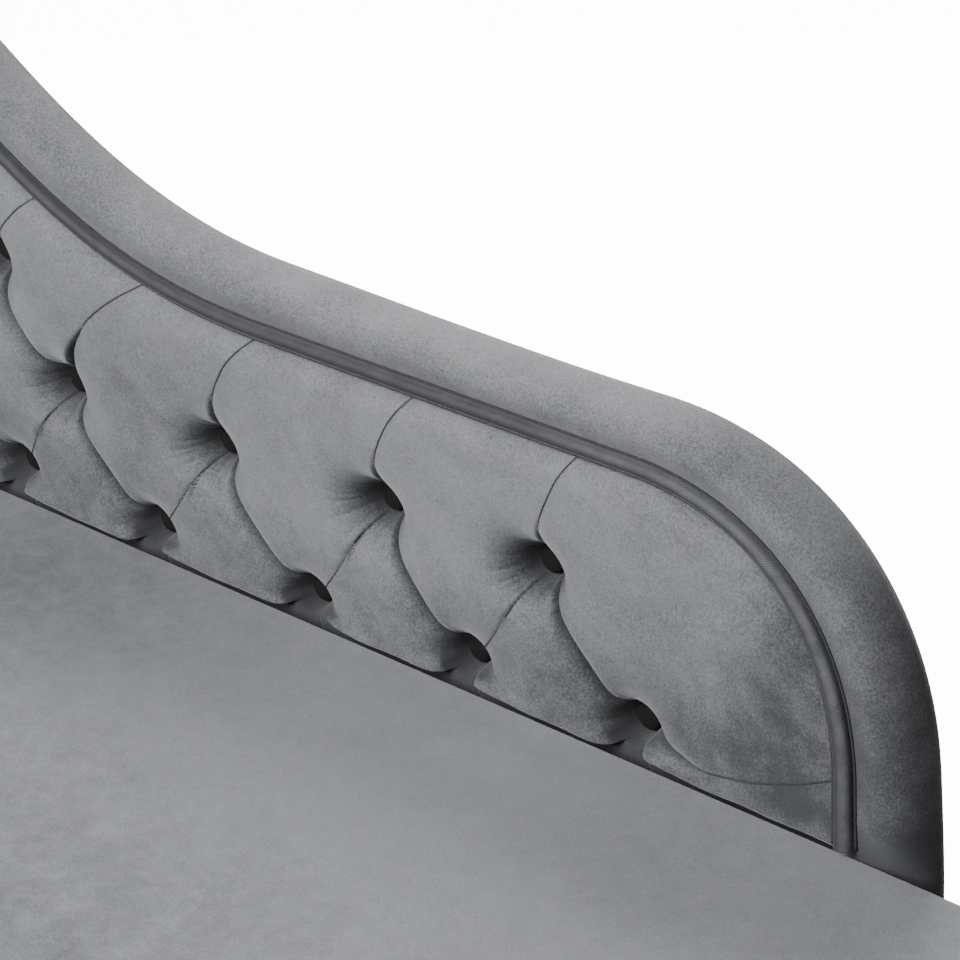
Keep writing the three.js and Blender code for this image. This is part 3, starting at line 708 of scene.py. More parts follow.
def lineAbove(arch, x):
    for (x0, z0), (x1, z1) in zip(arch, arch[1:]):
        if x1 <= x <= x0 and x0 > x1:
            return z0 + (z1 - z0) * (x0 - x) / (x0 - x1)
    return backLine["seat"]


def buttonAt(row, column):
    v = tufting
    shifts = v["shifts"][row] if row < len(v["shifts"]) else []
    along, up = shifts[column] if column < len(shifts) else (0, 0)
    half = 0.5 * (row % 2)
    x = backLine["foot"] - v["lastButtonInset"] - v["pitch"] * (column + half - along)
    return x, backLine["seat"] + v["firstRow"] + v["rowPitch"] * (row + up)


def findButtons(arch):
    v = tufting
    found = {}
    for row in range(v["mostRows"]):
        for column in range(v["mostColumns"]):
            x, z = buttonAt(row, column)
            inside = v["armInside"] + 2 * v["buttonRadius"] < x < backLine["foot"] - v["buttonMargin"]
            if inside and lineAbove(arch, x) - z > v["buttonMargin"]:
                found[row, column] = (x, z)
    return found


def bowed(start, end, bow):
    (x0, z0), (x1, z1) = start, end
    middle = ((x0 + x1) / 2 - bow * (z1 - z0), (z0 + z1) / 2 + bow * (x1 - x0))
    t = np.linspace(0, 1, tufting["seamSteps"] + 1)[:, None]
    return ((1 - t) ** 2 * np.array(start) + 2 * (1 - t) * t * np.array(middle)
            + t * t * np.array(end))


# Each seam has its line and how far it stands in front of the buttons' plane along the way
def findSeams(arch, buttons):
    v = tufting
    share = np.linspace(0, 1, v["seamSteps"] + 1)
    rising = v["topSeamEnd"] * (1 - (1 - share) ** v["topSeamPower"])
    start, slope, most = v["downStand"]
    seams = []
    for (row, column), spot in buttons.items():
        right = column - 1 if row % 2 == 0 else column
        x, z = spot
        dipped = {kind: high * np.sin(np.pi * share) ** power
                  for kind, (high, power) in v["middles"].items()}
        if row == 0:
            down = bowed(spot, (x + v["downLean"], v["floor"]), 0)
            seams.append(("down", down, np.minimum(start + slope * share, most)))
        else:
            left = bowed(spot, buttonAt(row - 1, right + 1), v["leftBow"])
            seams.append(("left", left, dipped["left"]))
            if right >= 0:
                lower = bowed(spot, buttonAt(row - 1, right), v["lowerBow"])
                seams.append(("right", lower, dipped["right"] * (v["highSeam"] if row > 1 else 1)))
        if (row + 1, right) not in buttons and not (row == 0 and right < 0):
            topX = x + v["topLeans"].get((row, column), v["topLean"])
            bow = v["topBows"].get((row, column), v["topBow"])
            top = bowed(spot, (topX, lineAbove(arch, topX) - v["inset"]), bow)
            seams.append(("top", top, rising))
        if row == 0 and right < 0:
            side = bowed(spot, (backLine["foot"], z + v["sideSeamRise"]), v["sideBow"])
            seams.append(("side", side, rising))
    return seams


# The nearest place on a line: how far it is, how far along, and where
def nearestOn(line, x, z):
    far = np.full(x.shape, np.inf)
    share, nearX, nearZ = np.zeros(x.shape), x.copy(), z.copy()
    for k, ((x0, z0), (x1, z1)) in enumerate(zip(line, line[1:])):
        dx, dz = x1 - x0, z1 - z0
        t = np.clip(((x - x0) * dx + (z - z0) * dz) / (dx * dx + dz * dz), 0, 1)
        px, pz = x0 + t * dx, z0 + t * dz
        d = np.hypot(x - px, z - pz)
        closer = d < far
        far[closer] = d[closer]
        share[closer] = ((k + t) / (len(line) - 1))[closer]
        nearX[closer] = px[closer]
        nearZ[closer] = pz[closer]
    return far, share, nearX, nearZ


def closeTo(line, x, z, reach):
    low, high = np.min(line, 0) - reach, np.max(line, 0) + reach
    return np.nonzero((x > low[0]) & (x < high[0]) & (z > low[1]) & (z < high[1]))[0]


# The tufts are less full towards the seat
def fullness(z):
    v = tufting
    share = np.clip((z - v["fullFrom"]) / v["fullRise"], 0, 1)
    return v["lowCrest"] + (v["crest"] - v["lowCrest"]) * share


# How far the cover stands in front of the buttons' plane
def tuftStand(x, z, seams, buttons, outline):
    v = tufting
    full = fullness(z)
    crest = full + v["wave"] * unevenness(x, 0, z, v["waveReach"])
    dips = np.zeros(x.shape)
    for kind, line, stand in seams:
        near = closeTo(line, x, z, v["seamReach"])
        side = v["sides"][kind]
        far, share, nearX, nearZ = nearestOn(line, x[near], z[near])
        stands = np.interp(share, np.linspace(0, 1, len(stand)), stand)
        if kind == "left":
            stands = stands * full[near]
        if kind == "right":
            gentle = v["slack"] * (full[near] - v["slackFrom"])
        else:
            gentle = side["gentle"]
        depth = np.maximum(full[near] - stands, 0)
        pull = np.exp(-far / side["tight"])
        tight = 1 - np.sqrt(1 - pull * pull)
        opened = (x[near] - nearX) * side["open"][0] + (z[near] - nearZ) * side["open"][1] > 0
        dip = depth * np.where(opened, np.exp(-far / gentle), tight)
        dips[near] += dip ** v["blend"]
    d = v["dimple"]
    for (row, _), (bx, bz) in buttons.items():
        away = np.hypot(x - bx, z - bz)
        turn = np.arctan2(z - bz, x - bx)
        wide = d["wide"] * (full - d["wideFrom"])
        reach = d["narrow"] + (wide - d["narrow"]) * (
            0.5 + 0.5 * np.cos(turn - d["side"])) ** d["power"]
        if row == 0:  # the lowest pockets are closed towards the seat
            reach = reach + (d["below"] - reach) * np.clip(-d["belowShare"] * np.sin(turn), 0, 1)
        dip = full * np.exp(-np.maximum(away - v["buttonRadius"], 0) / reach)
        dips += dip ** v["blend"]
    far = nearestOn(outline[::4], x, z)[0]
    dips += (np.maximum(full - v["edgeStand"], 0) * np.exp(-far / v["edgeReach"])) ** v["blend"]
    gap = np.full(x.shape, v["seatGap"])  # the tufts lift off the seat at the seams between them
    for (row, _), (bx, _) in buttons.items():
        if row == 0:
            left, right = v["seamGapReach"]
            gap += v["seamGap"] * np.exp(-np.where(x < bx, (bx - x) / left, (x - bx) / right))
    pull = np.exp(-np.maximum(z - backLine["seat"] - gap, 0) / v["seatReach"])
    tuck = (full - v["seatStand"]) * (1 - np.sqrt(1 - pull * pull))
    dips += tuck ** v["blend"]
    stand = crest - dips ** (1 / v["blend"])
    for count, ((row, _), spot) in enumerate(buttons.items()):
        if row > 0:  # the lowest row has no folds
            addFolds(stand, x, z, spot, count)
    return np.clip(stand, v["leastStand"], None)


# The sines of counts make no two folds alike
def addFolds(stand, x, z, spot, count):
    v = folds
    bx, bz = spot
    near = np.nonzero((abs(x - bx) < v["reach"]) & (abs(z - bz) < v["reach"]))[0]
    away = np.hypot(x[near] - bx, z[near] - bz)
    turn = np.arctan2(z[near] - bz, x[near] - bx)
    for k in range(v["count"]):
        angle = v["first"] + v["step"] * k + v["sway"] * math.sin(5.0 * k + 2.3 * count)
        aside = ((turn - angle + math.pi) % (2 * math.pi) - math.pi) * away
        long = v["shortest"] + v["longer"] * (0.5 + 0.5 * math.sin(3.1 * k + 1.7 * count))
        stand[near] -= v["depth"] * np.exp(-(aside / v["width"]) ** 2) * np.exp(
            -((away - v["out"]) / long) ** 2)


# Faces near a seam or a button are made finer
def refineNear(bm, lines, spots, reach, around):
    x, _, z = placesOf(bm)
    close = np.zeros(len(x), bool)
    for line in lines:
        near = closeTo(line, x, z, reach)
        close[near[nearestOn(line, x[near], z[near])[0] < reach]] = True
    for bx, bz in spots:
        close |= np.hypot(x - bx, z - bz) < around
    bm.verts.index_update()
    edges = [e for e in bm.edges if close[e.verts[0].index] and close[e.verts[1].index]]
    bmesh.ops.subdivide_edges(bm, edges=edges, cuts=1, use_grid_fill=True)


# Painted shade for the tufts: pockets, the lowest row, behind the seat, wedges by the seat and along
# seams, plus the nap and shade marks
def tuftPaintedShade(x, z, stand, alongSeams):
    v = tuftShade
    seatTop = backLine["seat"]
    pocketed = v["pocket"] * np.clip(1 - stand / fullness(z), 0, 1) ** 2
    low = v["lowRow"] * np.clip((v["lowRowTop"] - z) / v["lowRowFade"], 0, 1)
    hidden = v["hidden"] * np.clip((seatTop - v["hiddenBelow"] - z) / v["hiddenFade"], 0, 1)
    besideSeat = np.clip((seatTop + v["wedgeRise"] - z) / v["wedgeFade"], 0, 1)
    wedge = v["wedge"] * besideSeat * np.clip((v["wedgeStand"] - stand) / v["wedgeDepth"], 0, 1)
    return pocketed + low + np.maximum(hidden, wedge) + alongSeams + markedNapAndShade(napAndShadeMarks["back"], x, z)


def makeTufts():
    v = tufting
    top = offsetLine(archPoints(v["columns"]), -v["inset"])
    arch = archPoints(400)
    buttons = findButtons(arch)
    seams = findSeams(arch, buttons)
    outline = np.vstack([[top[0, 0], v["floor"]], top, [top[-1, 0], v["floor"]]])

    def place(i, j):
        x = top[i, 0]
        z = v["floor"] + (top[i, 1] - v["floor"]) * j / v["rows"]
        return np.stack([x, np.zeros(x.shape), z], 1)

    bm = gridShape(v["columns"], v["rows"], place)
    lines = [line for _, line, _ in seams]
    refineNear(bm, lines, buttons.values(), v["fineReach"], v["fineAround"])
    x, _, z = placesOf(bm)
    edge = np.array([vert.is_boundary for vert in bm.verts])
    onSeam = np.zeros(len(x), bool)
    seamShade = np.zeros(len(x))
    for kind, line, _ in seams:  # points next to a seam are drawn onto it, so that the fold is clean
        strength, wide = tuftShade["seams"]["down" if kind == "down" else "other"]
        near = closeTo(line, x, z, 4 * wide)
        far, _, nearX, nearZ = nearestOn(line, x[near], z[near])
        # painted shade along the seams' folds, broad at the down seams by the seat
        seamShade[near] = np.maximum(seamShade[near], strength * np.exp(-(far / wide) ** 2))
        close = (far < v["snap"]) & ~edge[near]
        x[near[close]] = nearX[close]
        z[near[close]] = nearZ[close]
        onSeam[near[close]] = True
    stand = tuftStand(x, z, seams, buttons, outline)
    stand = np.where(z < v["tuckTop"], np.maximum(stand, v["tuckStand"]), stand)
    besideArm = np.clip((v["armInside"] + v["armFade"] - x) / v["armFade"], 0, 1)
    stand = np.minimum(stand, v["crest"] - (v["crest"] - v["armStand"]) * besideArm)
    setShade(bm, tuftPaintedShade(x, z, stand, seamShade))
    for vert, spot in zip(bm.verts, zip(x, v["buttonPlane"] - stand, z)):
        vert.co = spot
    bm.verts.ensure_lookup_table()
    bmesh.ops.connect_verts(bm, verts=[bm.verts[k] for k in np.nonzero(onSeam)[0]])
    thicken(bm, v["back"])
    piece = pieceFrom("tufted_back", bm, velvet, smoothAngle=60)
    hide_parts("tufted_panel")
    return buttons, seams


buttons, seams = makeTufts()
print("tufted back made with", len(buttons), "buttons and", len(seams), "seams")


# Covered buttons, pulled deep into the tufts

button = {
    "radius": 0.0102,
    "rim": 0.0024,
    "edge": [(0.86, 0), (0.97, 0.3), (1, 0.8), (0.97, 1.3)],
    "dome": 0.0040,
    "domeFrom": 0.93,
    "domePower": 2.6,
    "domeRings": 9,
    "sunk": 0.0003,
    "sides": 48,
}


def makeButtons():
    v = button
    profile = [(0, 0)] + [(v["radius"] * out, v["rim"] * up) for out, up in v["edge"]]
    for share in np.linspace(v["domeFrom"], 0, v["domeRings"]):
        rise = v["rim"] + v["dome"] * math.sqrt(1 - share ** v["domePower"])
        profile.append((v["radius"] * share, rise))
    for (row, column), (x, z) in buttons.items():
        bm = turnedShape(profile, v["sides"])
        bmesh.ops.transform(bm, verts=bm.verts, matrix=Matrix.Rotation(math.pi / 2, 4, "X"))
        bmesh.ops.translate(bm, verts=bm.verts, vec=(x, tufting["buttonPlane"] - v["sunk"], z))
        piece = pieceFrom(f"covered_button_{row + 1}_{column + 1}", bm, buttonVelvet, allSmooth)
        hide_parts(f"button_{row + 1}_{column + 1}")


makeButtons()
print("buttons made")


# Piping round the back with its dark seam lines, partly painted crevice shade; bodyArc and bodyTail
# outline the cord's section at radius 1

backPiping = {
    "bead": 0.0045,
    "footBead": 0.0063,
    "beadMiddle": (0.0005, 0.2605),
    "bodyArc": (-0.05 * math.pi, -1.75 * math.pi),
    "arcSteps": 24,
    "bodyTail": [(0.75, 1.09), (0.95, 0.95)],
    "bottom": 0.4250,
    "tuckedBack": 0.0075,
    "tuckReach": 0.0105,
    "tuckSlope": 1.9,
    "armTop": 0.7363,
    "seams": [(0.0061, 0.2632), (-0.0050, 0.2600)],
    "seamRadius": 0.0008,
    "footSeamRadius": 0.0014,
    "footReach": 0.16,
    "seamSides": 6,
    "steps": 520,
    "sides": 26,
}


def makeBackPiping():
    v = backPiping
    arch = archPoints(900)
    shown = arch[(arch[:, 0] > tufting["armInside"]) | (arch[:, 1] > v["armTop"])]
    line = np.vstack([[backLine["foot"], v["bottom"]], shown])
    long = lengthOf(line)
    out0, middle = v["beadMiddle"]
    arc = [(math.cos(a), math.sin(a)) for a in np.linspace(*v["bodyArc"], v["arcSteps"])]
    loop = evenPoints(arc + v["bodyTail"] + arc[:1], v["sides"])

    def footward(share):  # the cord and its seams are thicker towards the foot end
        return np.clip(1 - share / v["footReach"], 0, 1)

    def setBack(share):  # the end goes down behind the seat
        return v["tuckedBack"] * np.clip(v["tuckSlope"] * (1 - share * long / v["tuckReach"]), 0, 1)

    def section(share, around):
        k = np.rint(around * v["sides"]).astype(int)
        size = v["bead"] + (v["footBead"] - v["bead"]) * footward(share)
        return out0 + size * loop[k, 0], middle + size * loop[k, 1] + setBack(share)

    bm = tubeAlong(line, section, v["sides"], v["steps"])
    piece = pieceFrom("back_piping", bm, piping, seamAngle)
    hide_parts("back_welt")
    grown = (v["footBead"] - v["bead"]) * footward(np.linspace(0, 1, v["steps"] + 1))[:, None]
    # Dark seam lines on both sides of the cord: stitching drawn dark as painted shade of the crevices,
    # thicker towards the foot end
    for end, (aside, level) in zip(("", "_inner"), v["seams"]):
        seam = offsetLine(evenPoints(line, v["steps"]), aside + grown * np.sign(aside))
        stitched = roundSection(
            lambda share: v["seamRadius"] + (v["footSeamRadius"] - v["seamRadius"]) * footward(share),
            lambda share, level=level: level + setBack(share))
        bm = tubeAlong(seam, stitched, v["seamSides"], v["steps"])
        pieceFrom("back_piping_seam_shade" + end, bm, thread, allSmooth)


makeBackPiping()


# Dark threads of the tufts' seams, lying in their folds, partly stitching and partly painted fold shade:
# radius and how far behind the fold's surface

tuftThread = {
    "left": (0.0004, -0.0003),
    "other": (0.0006, 0.0001),
    "steps": 70,
    "start": 7,
    "clearOfPiping": 0.008,
    "sides": 6,
}


def makeTuftThreads():
    v = tuftThread
    arch = archPoints(400)
    outline = offsetLine(archPoints(300), -tufting["inset"])
    whole = bmesh.new()
    for kind, line, _ in seams:
        if kind in ("right", "down"):
            continue
        radius, behind = v["left" if kind == "left" else "other"]
        path = evenPoints(line, v["steps"])[v["start"]:]
        path = path[[lineAbove(arch, x) - z > v["clearOfPiping"] for x, z in path]]
        stand = tuftStand(path[:, 0], path[:, 1], seams, buttons, outline)
        level = tufting["buttonPlane"] - stand + behind
        last = len(path) - 1
        section = roundSection(
            lambda _: radius, lambda share: level[np.rint(share * last).astype(int)])
        joinInto(whole, tubeAlong(path, section, v["sides"], last))
    pieceFrom("tuft_seam_shade_threads", whole, thread, allSmooth)


makeTuftThreads()
print("piping and seams made")


# The padded roll round the back's edge

roll = {
    "thickness": 0.052,
    "middle": 0.290,
    "bulge": 0.040,
    "lip": 0.0062,
    "flange": 0.008,
    "lipDepth": 0.003,
    "forward": 0.0115,
    "flatBelow": {"foot": 0.424, "head": 0.745},
    "flatReach": 0.030,
    # turnedIn and contact: painted shade where the roll turns in above the piping, and a painted contact
    # shadow by the seat at the foot end
    "turnedIn": 0.75,
    "pipingShadeReach": 0.014,
    "contactShadow": 0.75,
    "contactReach": 0.020,
    "flangeFront": 0.2668,
    "baseFront": 0.2616,
    "baseTop": 0.272,
    "baseFade": 0.010,
    "bottom": 0.150,
    "shares": [(0, 1.25), (0.12, 1.3), (0.2, 1.06), (0.25, 0.88), (0.3, 0.82), (0.38, 0.9),
               (0.48, 1.02), (0.56, 1), (0.7, 1), (0.8, 1.18), (1, 1.22)],
    "evenedOver": 20,
    "uneven": (0.0008, 0.0005),
    "steps": 460,
    "arc": 48,
    "closingRings": 3,
    "girth": 0.12,
}


def makeRoll():
    v = roll
    path = evenPoints(backOutline(600, v["bottom"]), v["steps"])
    side = outwards(path)
    at, value = np.array(v["shares"]).T
    bulge = v["bulge"] * np.interp(np.linspace(0, 1, v["steps"] + 1), at, value)
    kernel = np.hanning(2 * v["evenedOver"] + 1)
    padded = np.pad(bulge, v["evenedOver"], mode="edge")
    bulge = np.convolve(padded, kernel / kernel.sum(), mode="valid")
    half = v["thickness"] / 2
    low = np.clip((v["baseTop"] - path[:, 1]) / v["baseFade"], 0, 1)
    flat = np.where(path[:, 0] > tufting["armInside"], v["flatBelow"]["foot"], v["flatBelow"]["head"])
    forward = v["forward"] * np.clip((path[:, 1] - flat) / v["flatReach"], 0, 1)
    facing = v["flangeFront"] + (v["baseFront"] - v["flangeFront"]) * low
    sides = v["arc"] + v["closingRings"]

    def place(i, j):
        last = math.pi - np.arcsin(v["lip"] / bulge[i])
        turn = last * (np.clip(j - 2, 0, v["arc"] - 1) / (v["arc"] - 1))
        out = bulge[i] * np.sin(turn)
        front = np.clip((turn - math.pi / 2) / (last - math.pi / 2), 0, 1)
        y = v["middle"] + half * np.cos(turn) - forward[i] * np.sin(math.pi * front)
        wave = unevenness(
            path[i, 0] + side[i, 0] * out, y, path[i, 1] + side[i, 1] * out, reach=0.17, seed=1.0)
        wave = wave * np.sin(np.clip(turn, 0, math.pi))
        out = out + v["uneven"][0] * wave
        y = y - v["uneven"][1] * wave
        for ring, aside, level in (  # the flange that lies on the board, behind and in front
                (0, -v["flange"], facing[i]), (1, -v["flange"], v["middle"] + half - v["lipDepth"]),
                (sides - 1, v["lip"], facing[i]), (sides, -v["flange"], facing[i])):
            out = np.where(j == ring, aside, out)
            y = np.where(j == ring, level, y)
        return np.stack([path[i, 0] + side[i, 0] * out, y, path[i, 1] + side[i, 1] * out], 1)

    bm = closeShape(gridShape(v["steps"], sides, place, (lengthOf(path), v["girth"])))
    x, y, z = placesOf(bm)
    # Painted shade above the piping and a painted contact shadow by the seat, with the nap and shade
    # marks
    away = nearestOn(archPoints(120), x, z)[0]
    turnedIn = v["turnedIn"] * np.exp(-(away / v["pipingShadeReach"]) ** 2) * (y < v["middle"])
    rise = np.maximum(z - backLine["seat"], 0)
    contactShadow = v["contactShadow"] * np.exp(-(rise / v["contactReach"]) ** 2) * (x > backLine["foot"])
    setShade(bm, markedNapAndShade(napAndShadeMarks["roll"], x, z) + np.maximum(turnedIn, contactShadow))
    piece = pieceFrom("padded_back_roll", bm, rollVelvet, seamAngle)
    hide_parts("back_roll")


makeRoll()
print("back roll made")


# Box-shaped upholstery: bevelled, cut into a net by planes, then swelled

def planeCuts(bm, axis, places):
    normal = Vector((0, 0, 0))
    normal[axis] = 1
    for place in places:
        spot = Vector((0, 0, 0))
        spot[axis] = float(place)
        geom = bm.verts[:] + bm.edges[:] + bm.faces[:]
        bmesh.ops.bisect_plane(bm, geom=geom, plane_co=spot, plane_no=normal, dist=1e-6)


# Cuts across X and Y at an even pitch, from start inside the low end to end inside the high end
def netCuts(bm, low, high, start, end, pitch):
    for axis in range(2):
        planeCuts(bm, axis, np.arange(low[axis] + start, high[axis] - end, pitch))


def boxShape(low, high):
    bm = bmesh.new()
    bmesh.ops.create_cube(bm, size=1.0)
    for vert in bm.verts:
        vert.co = [(low[k] + high[k]) / 2 + vert.co[k] * (high[k] - low[k]) for k in range(3)]
    return bm


def bevelEdges(bm, edges, offset, segments):
    bmesh.ops.bevel(
        bm, geom=edges, offset=offset, offset_type="OFFSET", affect="EDGES",
        segments=segments, profile=0.5, material=-1, clamp_overlap=True)


def uprightEdges(bm, leastRise=0.05):
    return [e for e in bm.edges if abs(e.verts[0].co.z - e.verts[1].co.z) > leastRise]


# The seat's padded cover

seat = {
    "low": (-0.6217, -0.318, 0.2846),
    "high": (0.798, 0.2608, 0.430),
    "crown": 0.012,
    "corner": 0.034,
    "edge": 0.014,
    "rearFrom": 0.4,
    "swell": 0.004,
    "swellTop": 0.5,
    "uneven": 0.0009,
    "unevenFrom": 0.05,
    "net": {"start": 0.03, "end": 0.02, "pitch": 0.02},
    "sideCuts": (0.008, 0.004, 8),
}


def makeSeat():
    v = seat
    low, high = v["low"], v["high"]
    bm = boxShape(low, high)
    bevelEdges(bm, uprightEdges(bm), v["corner"], segments=10)
    rim = [e for e in bm.edges if min(p.co.z for p in e.verts) > high[2] - levelTolerance]
    rear = [e for e in rim if min(p.co.y for p in e.verts) > high[1] - v["corner"] * v["rearFrom"]]
    bevelEdges(bm, [e for e in rim if e not in rear], v["edge"], segments=6)
    netCuts(bm, low, high, **v["net"])
    lowest, highest, cuts = v["sideCuts"]
    planeCuts(bm, 2, np.linspace(low[2] + lowest, high[2] - v["edge"] - highest, cuts))
    middle = [(low[k] + high[k]) / 2 for k in range(2)]
    reach = [(high[k] - low[k]) / 2 for k in range(2)]
    for vert in bm.verts:
        x, y, z = vert.co
        inset = min(x - low[0], high[0] - x, y - low[1], high[1] - y)
        rise = max(0.0, (z - (high[2] - v["edge"])) / v["edge"])
        crown = v["crown"] * math.sin(math.pi / 2 * min(1.0, max(0.0, inset) / reach[1]))
        wave = unevenness(x, y, 0, reach=0.24, seed=3.0) * min(1, inset / v["unevenFrom"])
        vert.co.z += (crown + v["uneven"] * wave) * rise
        height = min(1.0, max(0.0, (z - low[2]) / (high[2] - low[2])))
        pull = v["swell"] * (1 - math.sin(math.pi / 2 * min(1, height / v["swellTop"])))
        if inset < v["corner"]:
            for k in range(2):
                vert.co[k] = middle[k] + (vert.co[k] - middle[k]) * (1 - pull / reach[k])
    # Nap marks and painted shade on the seat: darker at the rear left, at the front and along the rear
    # edge by the back
    x, y, _ = placesOf(bm)
    setShade(bm, markedNapAndShade(napAndShadeMarks["seat"], x, y))
    piece = pieceFrom("seat_cushion", bm, seatVelvet, seamAngle)
    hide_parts("seat_cover", "seat_foam")


makeSeat()
print("seat made")


# The covered base and its welt

base = {
    "low": (-0.755, -0.318, 0.150),
    "high": (0.798, 0.261, 0.276),
    "corner": 0.012,
    "thickness": 0.0022,
    "drawnIn": 0.0012,
    "uneven": 0.0004,
    "net": {"start": 0.02, "end": 0.01, "pitch": 0.03},
    "sideCuts": (0.006, 7),
    "turnedIn": {
        "from": (0.0063, 0.0063), "to": (0.025, 0.0145), "level": 0.2762, "thickness": 0.0008},
    "weltRadius": 0.004,
    "weltLevel": 0.2803,
    "weltInset": 0.002,
    "weltSteps": 640,
    "weltSides": 16,
}


def roundedRectangle(low, high, corner, steps=8):
    points = []
    for cx, cy, turn in [
        (high[0] - corner, high[1] - corner, 0), (low[0] + corner, high[1] - corner, 1),
        (low[0] + corner, low[1] + corner, 2), (high[0] - corner, low[1] + corner, 3),
    ]:
        for k in range(steps + 1):
            angle = math.pi / 2 * (turn + k / steps)
            points.append((cx + corner * math.cos(angle), cy + corner * math.sin(angle)))
    return points


# A flat sheet gets its thickness, then moves until its chosen side lies at a level
def makeThick(bm, thickness, level, side):
    bmesh.ops.recalc_face_normals(bm, faces=bm.faces)
    bmesh.ops.solidify(bm, geom=bm.faces, thickness=thickness)
    shift = level - side(vert.co.z for vert in bm.verts)
    bmesh.ops.translate(bm, verts=bm.verts, vec=(0, 0, shift))


def fillRings(bm, edges):
    bmesh.ops.triangle_fill(bm, use_beauty=True, use_dissolve=False, edges=edges)


def levelRectangle(low, high, level):
    corners = ((low[0], low[1]), (high[0], low[1]), (high[0], high[1]), (low[0], high[1]))
    return [(x, y, level) for x, y in corners]


# The covers' cloth turned in over the rails, a flat ring inside the top edge
def turnedInRing(low, high):
    v = base["turnedIn"]
    bm = bmesh.new()
    edges = []
    for across, deep in (v["from"], v["to"]):
        edges += ringOf(bm, levelRectangle(
            (low[0] + across, low[1] + deep), (high[0] - across, high[1] - deep), v["level"]))
    fillRings(bm, edges)
    makeThick(bm, v["thickness"], v["level"], min)
    return bm


def makeBase():
    v = base
    low, high = v["low"], v["high"]
    bm = boxShape(low, high)
    flat = [f for f in bm.faces if abs(f.normal.z) > 0.9]
    bmesh.ops.delete(bm, geom=flat, context="FACES_ONLY")
    bevelEdges(bm, uprightEdges(bm), v["corner"], segments=6)
    netCuts(bm, low, high, **v["net"])
    inside, cuts = v["sideCuts"]
    planeCuts(bm, 2, np.linspace(low[2] + inside, high[2] - inside, cuts))
    bmesh.ops.recalc_face_normals(bm, faces=bm.faces)
    bm.normal_update()
    for vert in bm.verts:
        height = (vert.co.z - low[2]) / (high[2] - low[2])
        wave = unevenness(*vert.co, reach=0.20, seed=5.0)
        vert.co -= vert.normal * (
            v["drawnIn"] * (1 - math.sin(math.pi * height)) + v["uneven"] * (1 + wave))
    bmesh.ops.solidify(bm, geom=bm.faces, thickness=v["thickness"])
    joinInto(bm, turnedInRing(low, high))
    piece = pieceFrom("base_upholstery", bm, velvet, seamAngle)
    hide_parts("front_rail_cover", "rear_rail_cover", "head_rail_cover", "foot_rail_cover")

    inset = v["weltInset"]
    ring = roundedRectangle(
        (low[0] + inset, low[1] + inset), (high[0] - inset, high[1] - inset), v["corner"])
    ring = evenPoints(ring + [ring[0]], v["weltSteps"])[:-1]
    bm = tubeAlong(ring, weltSection(v), v["weltSides"])
    for vert in bm.verts:  # the ring lies flat, so its two level ways change places
        x, level, y = vert.co
        vert.co = (x, y, level)
    piece = pieceFrom("base_piping", bm, piping, allSmooth)
    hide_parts("base_welt")


makeBase()
print("base made")


# The scroll arm at the head end

# drawnInFront and drawnInRear: how far from that end, and how much of edgeTuck is drawn in there
arm = {
    "head": -0.755,
    "inside": -0.622,
    "bottom": 0.2846,
    "rollRadius": 0.080,
    "rollMiddle": (-0.715, 0.656),
    "neckHeight": 0.548,
    "neckIn": 0.038,
    "neckOut": 0.018,
    "front": -0.318,
    "facingRear": -0.306,
    "rear": 0.2612,
    "weltRadius": 0.005,
    "weltLevel": -0.313,
    "startAngle": -0.75,
    "endAngle": 3.7,
    "cornerCuts": 3,
    "neckSteps": 12,
    "rollSteps": 40,
    "closingSteps": 10,
    "betweenSteps": 40,
    "coverSize": (1.0, 0.57),
    "edgeTuck": 0.004,
    "drawnInFront": [(0, 1), (0.0025, 0.35), (0.008, 0)],
    "drawnInRear": [(0.006, 0), (0.002, 0.3), (0, 1)],
    "uneven": 0.0009,
    "panelGap": 0.0003,
    "panelDrop": 0.0045,
    "panelDropReach": 0.006,
    "panelSwell": 0.0015,
    "panelSwellReach": 0.03,
    "weltLift": 0.002,
    "weltSteps": 320,
    "weltSides": 18,
}


def armLine(count):
    v = arm
    share = np.linspace(0, 1, v["neckSteps"])
    inner = np.stack([
        v["inside"] - v["neckIn"] * np.sin(math.pi / 2 * share),
        v["bottom"] + (v["neckHeight"] - v["bottom"]) * share], 1)
    angle = np.linspace(v["startAngle"], v["endAngle"], v["rollSteps"])
    cx, cz = v["rollMiddle"]
    arc = np.stack([cx + v["rollRadius"] * np.cos(angle), cz + v["rollRadius"] * np.sin(angle)], 1)
    outer = [
        (v["head"] + v["neckOut"], v["neckHeight"]),
        (v["head"] + v["neckOut"] / 2, (v["neckHeight"] + v["bottom"]) / 2),
        (v["head"], v["bottom"]),
    ]
    line = np.vstack([inner, arc, outer])
    return evenPoints(cutCorners(line, v["cornerCuts"]), count)


def filledOutline(points, level, pitch):
    bm = bmesh.new()
    fillRings(bm, ringOf(bm, [(x, level, z) for x, z in points]))
    low, high = np.min(points, 0), np.max(points, 0)
    planeCuts(bm, 0, np.arange(low[0] + pitch / 2, high[0], pitch))
    planeCuts(bm, 2, np.arange(low[1] + pitch / 2, high[1], pitch))
    return bm


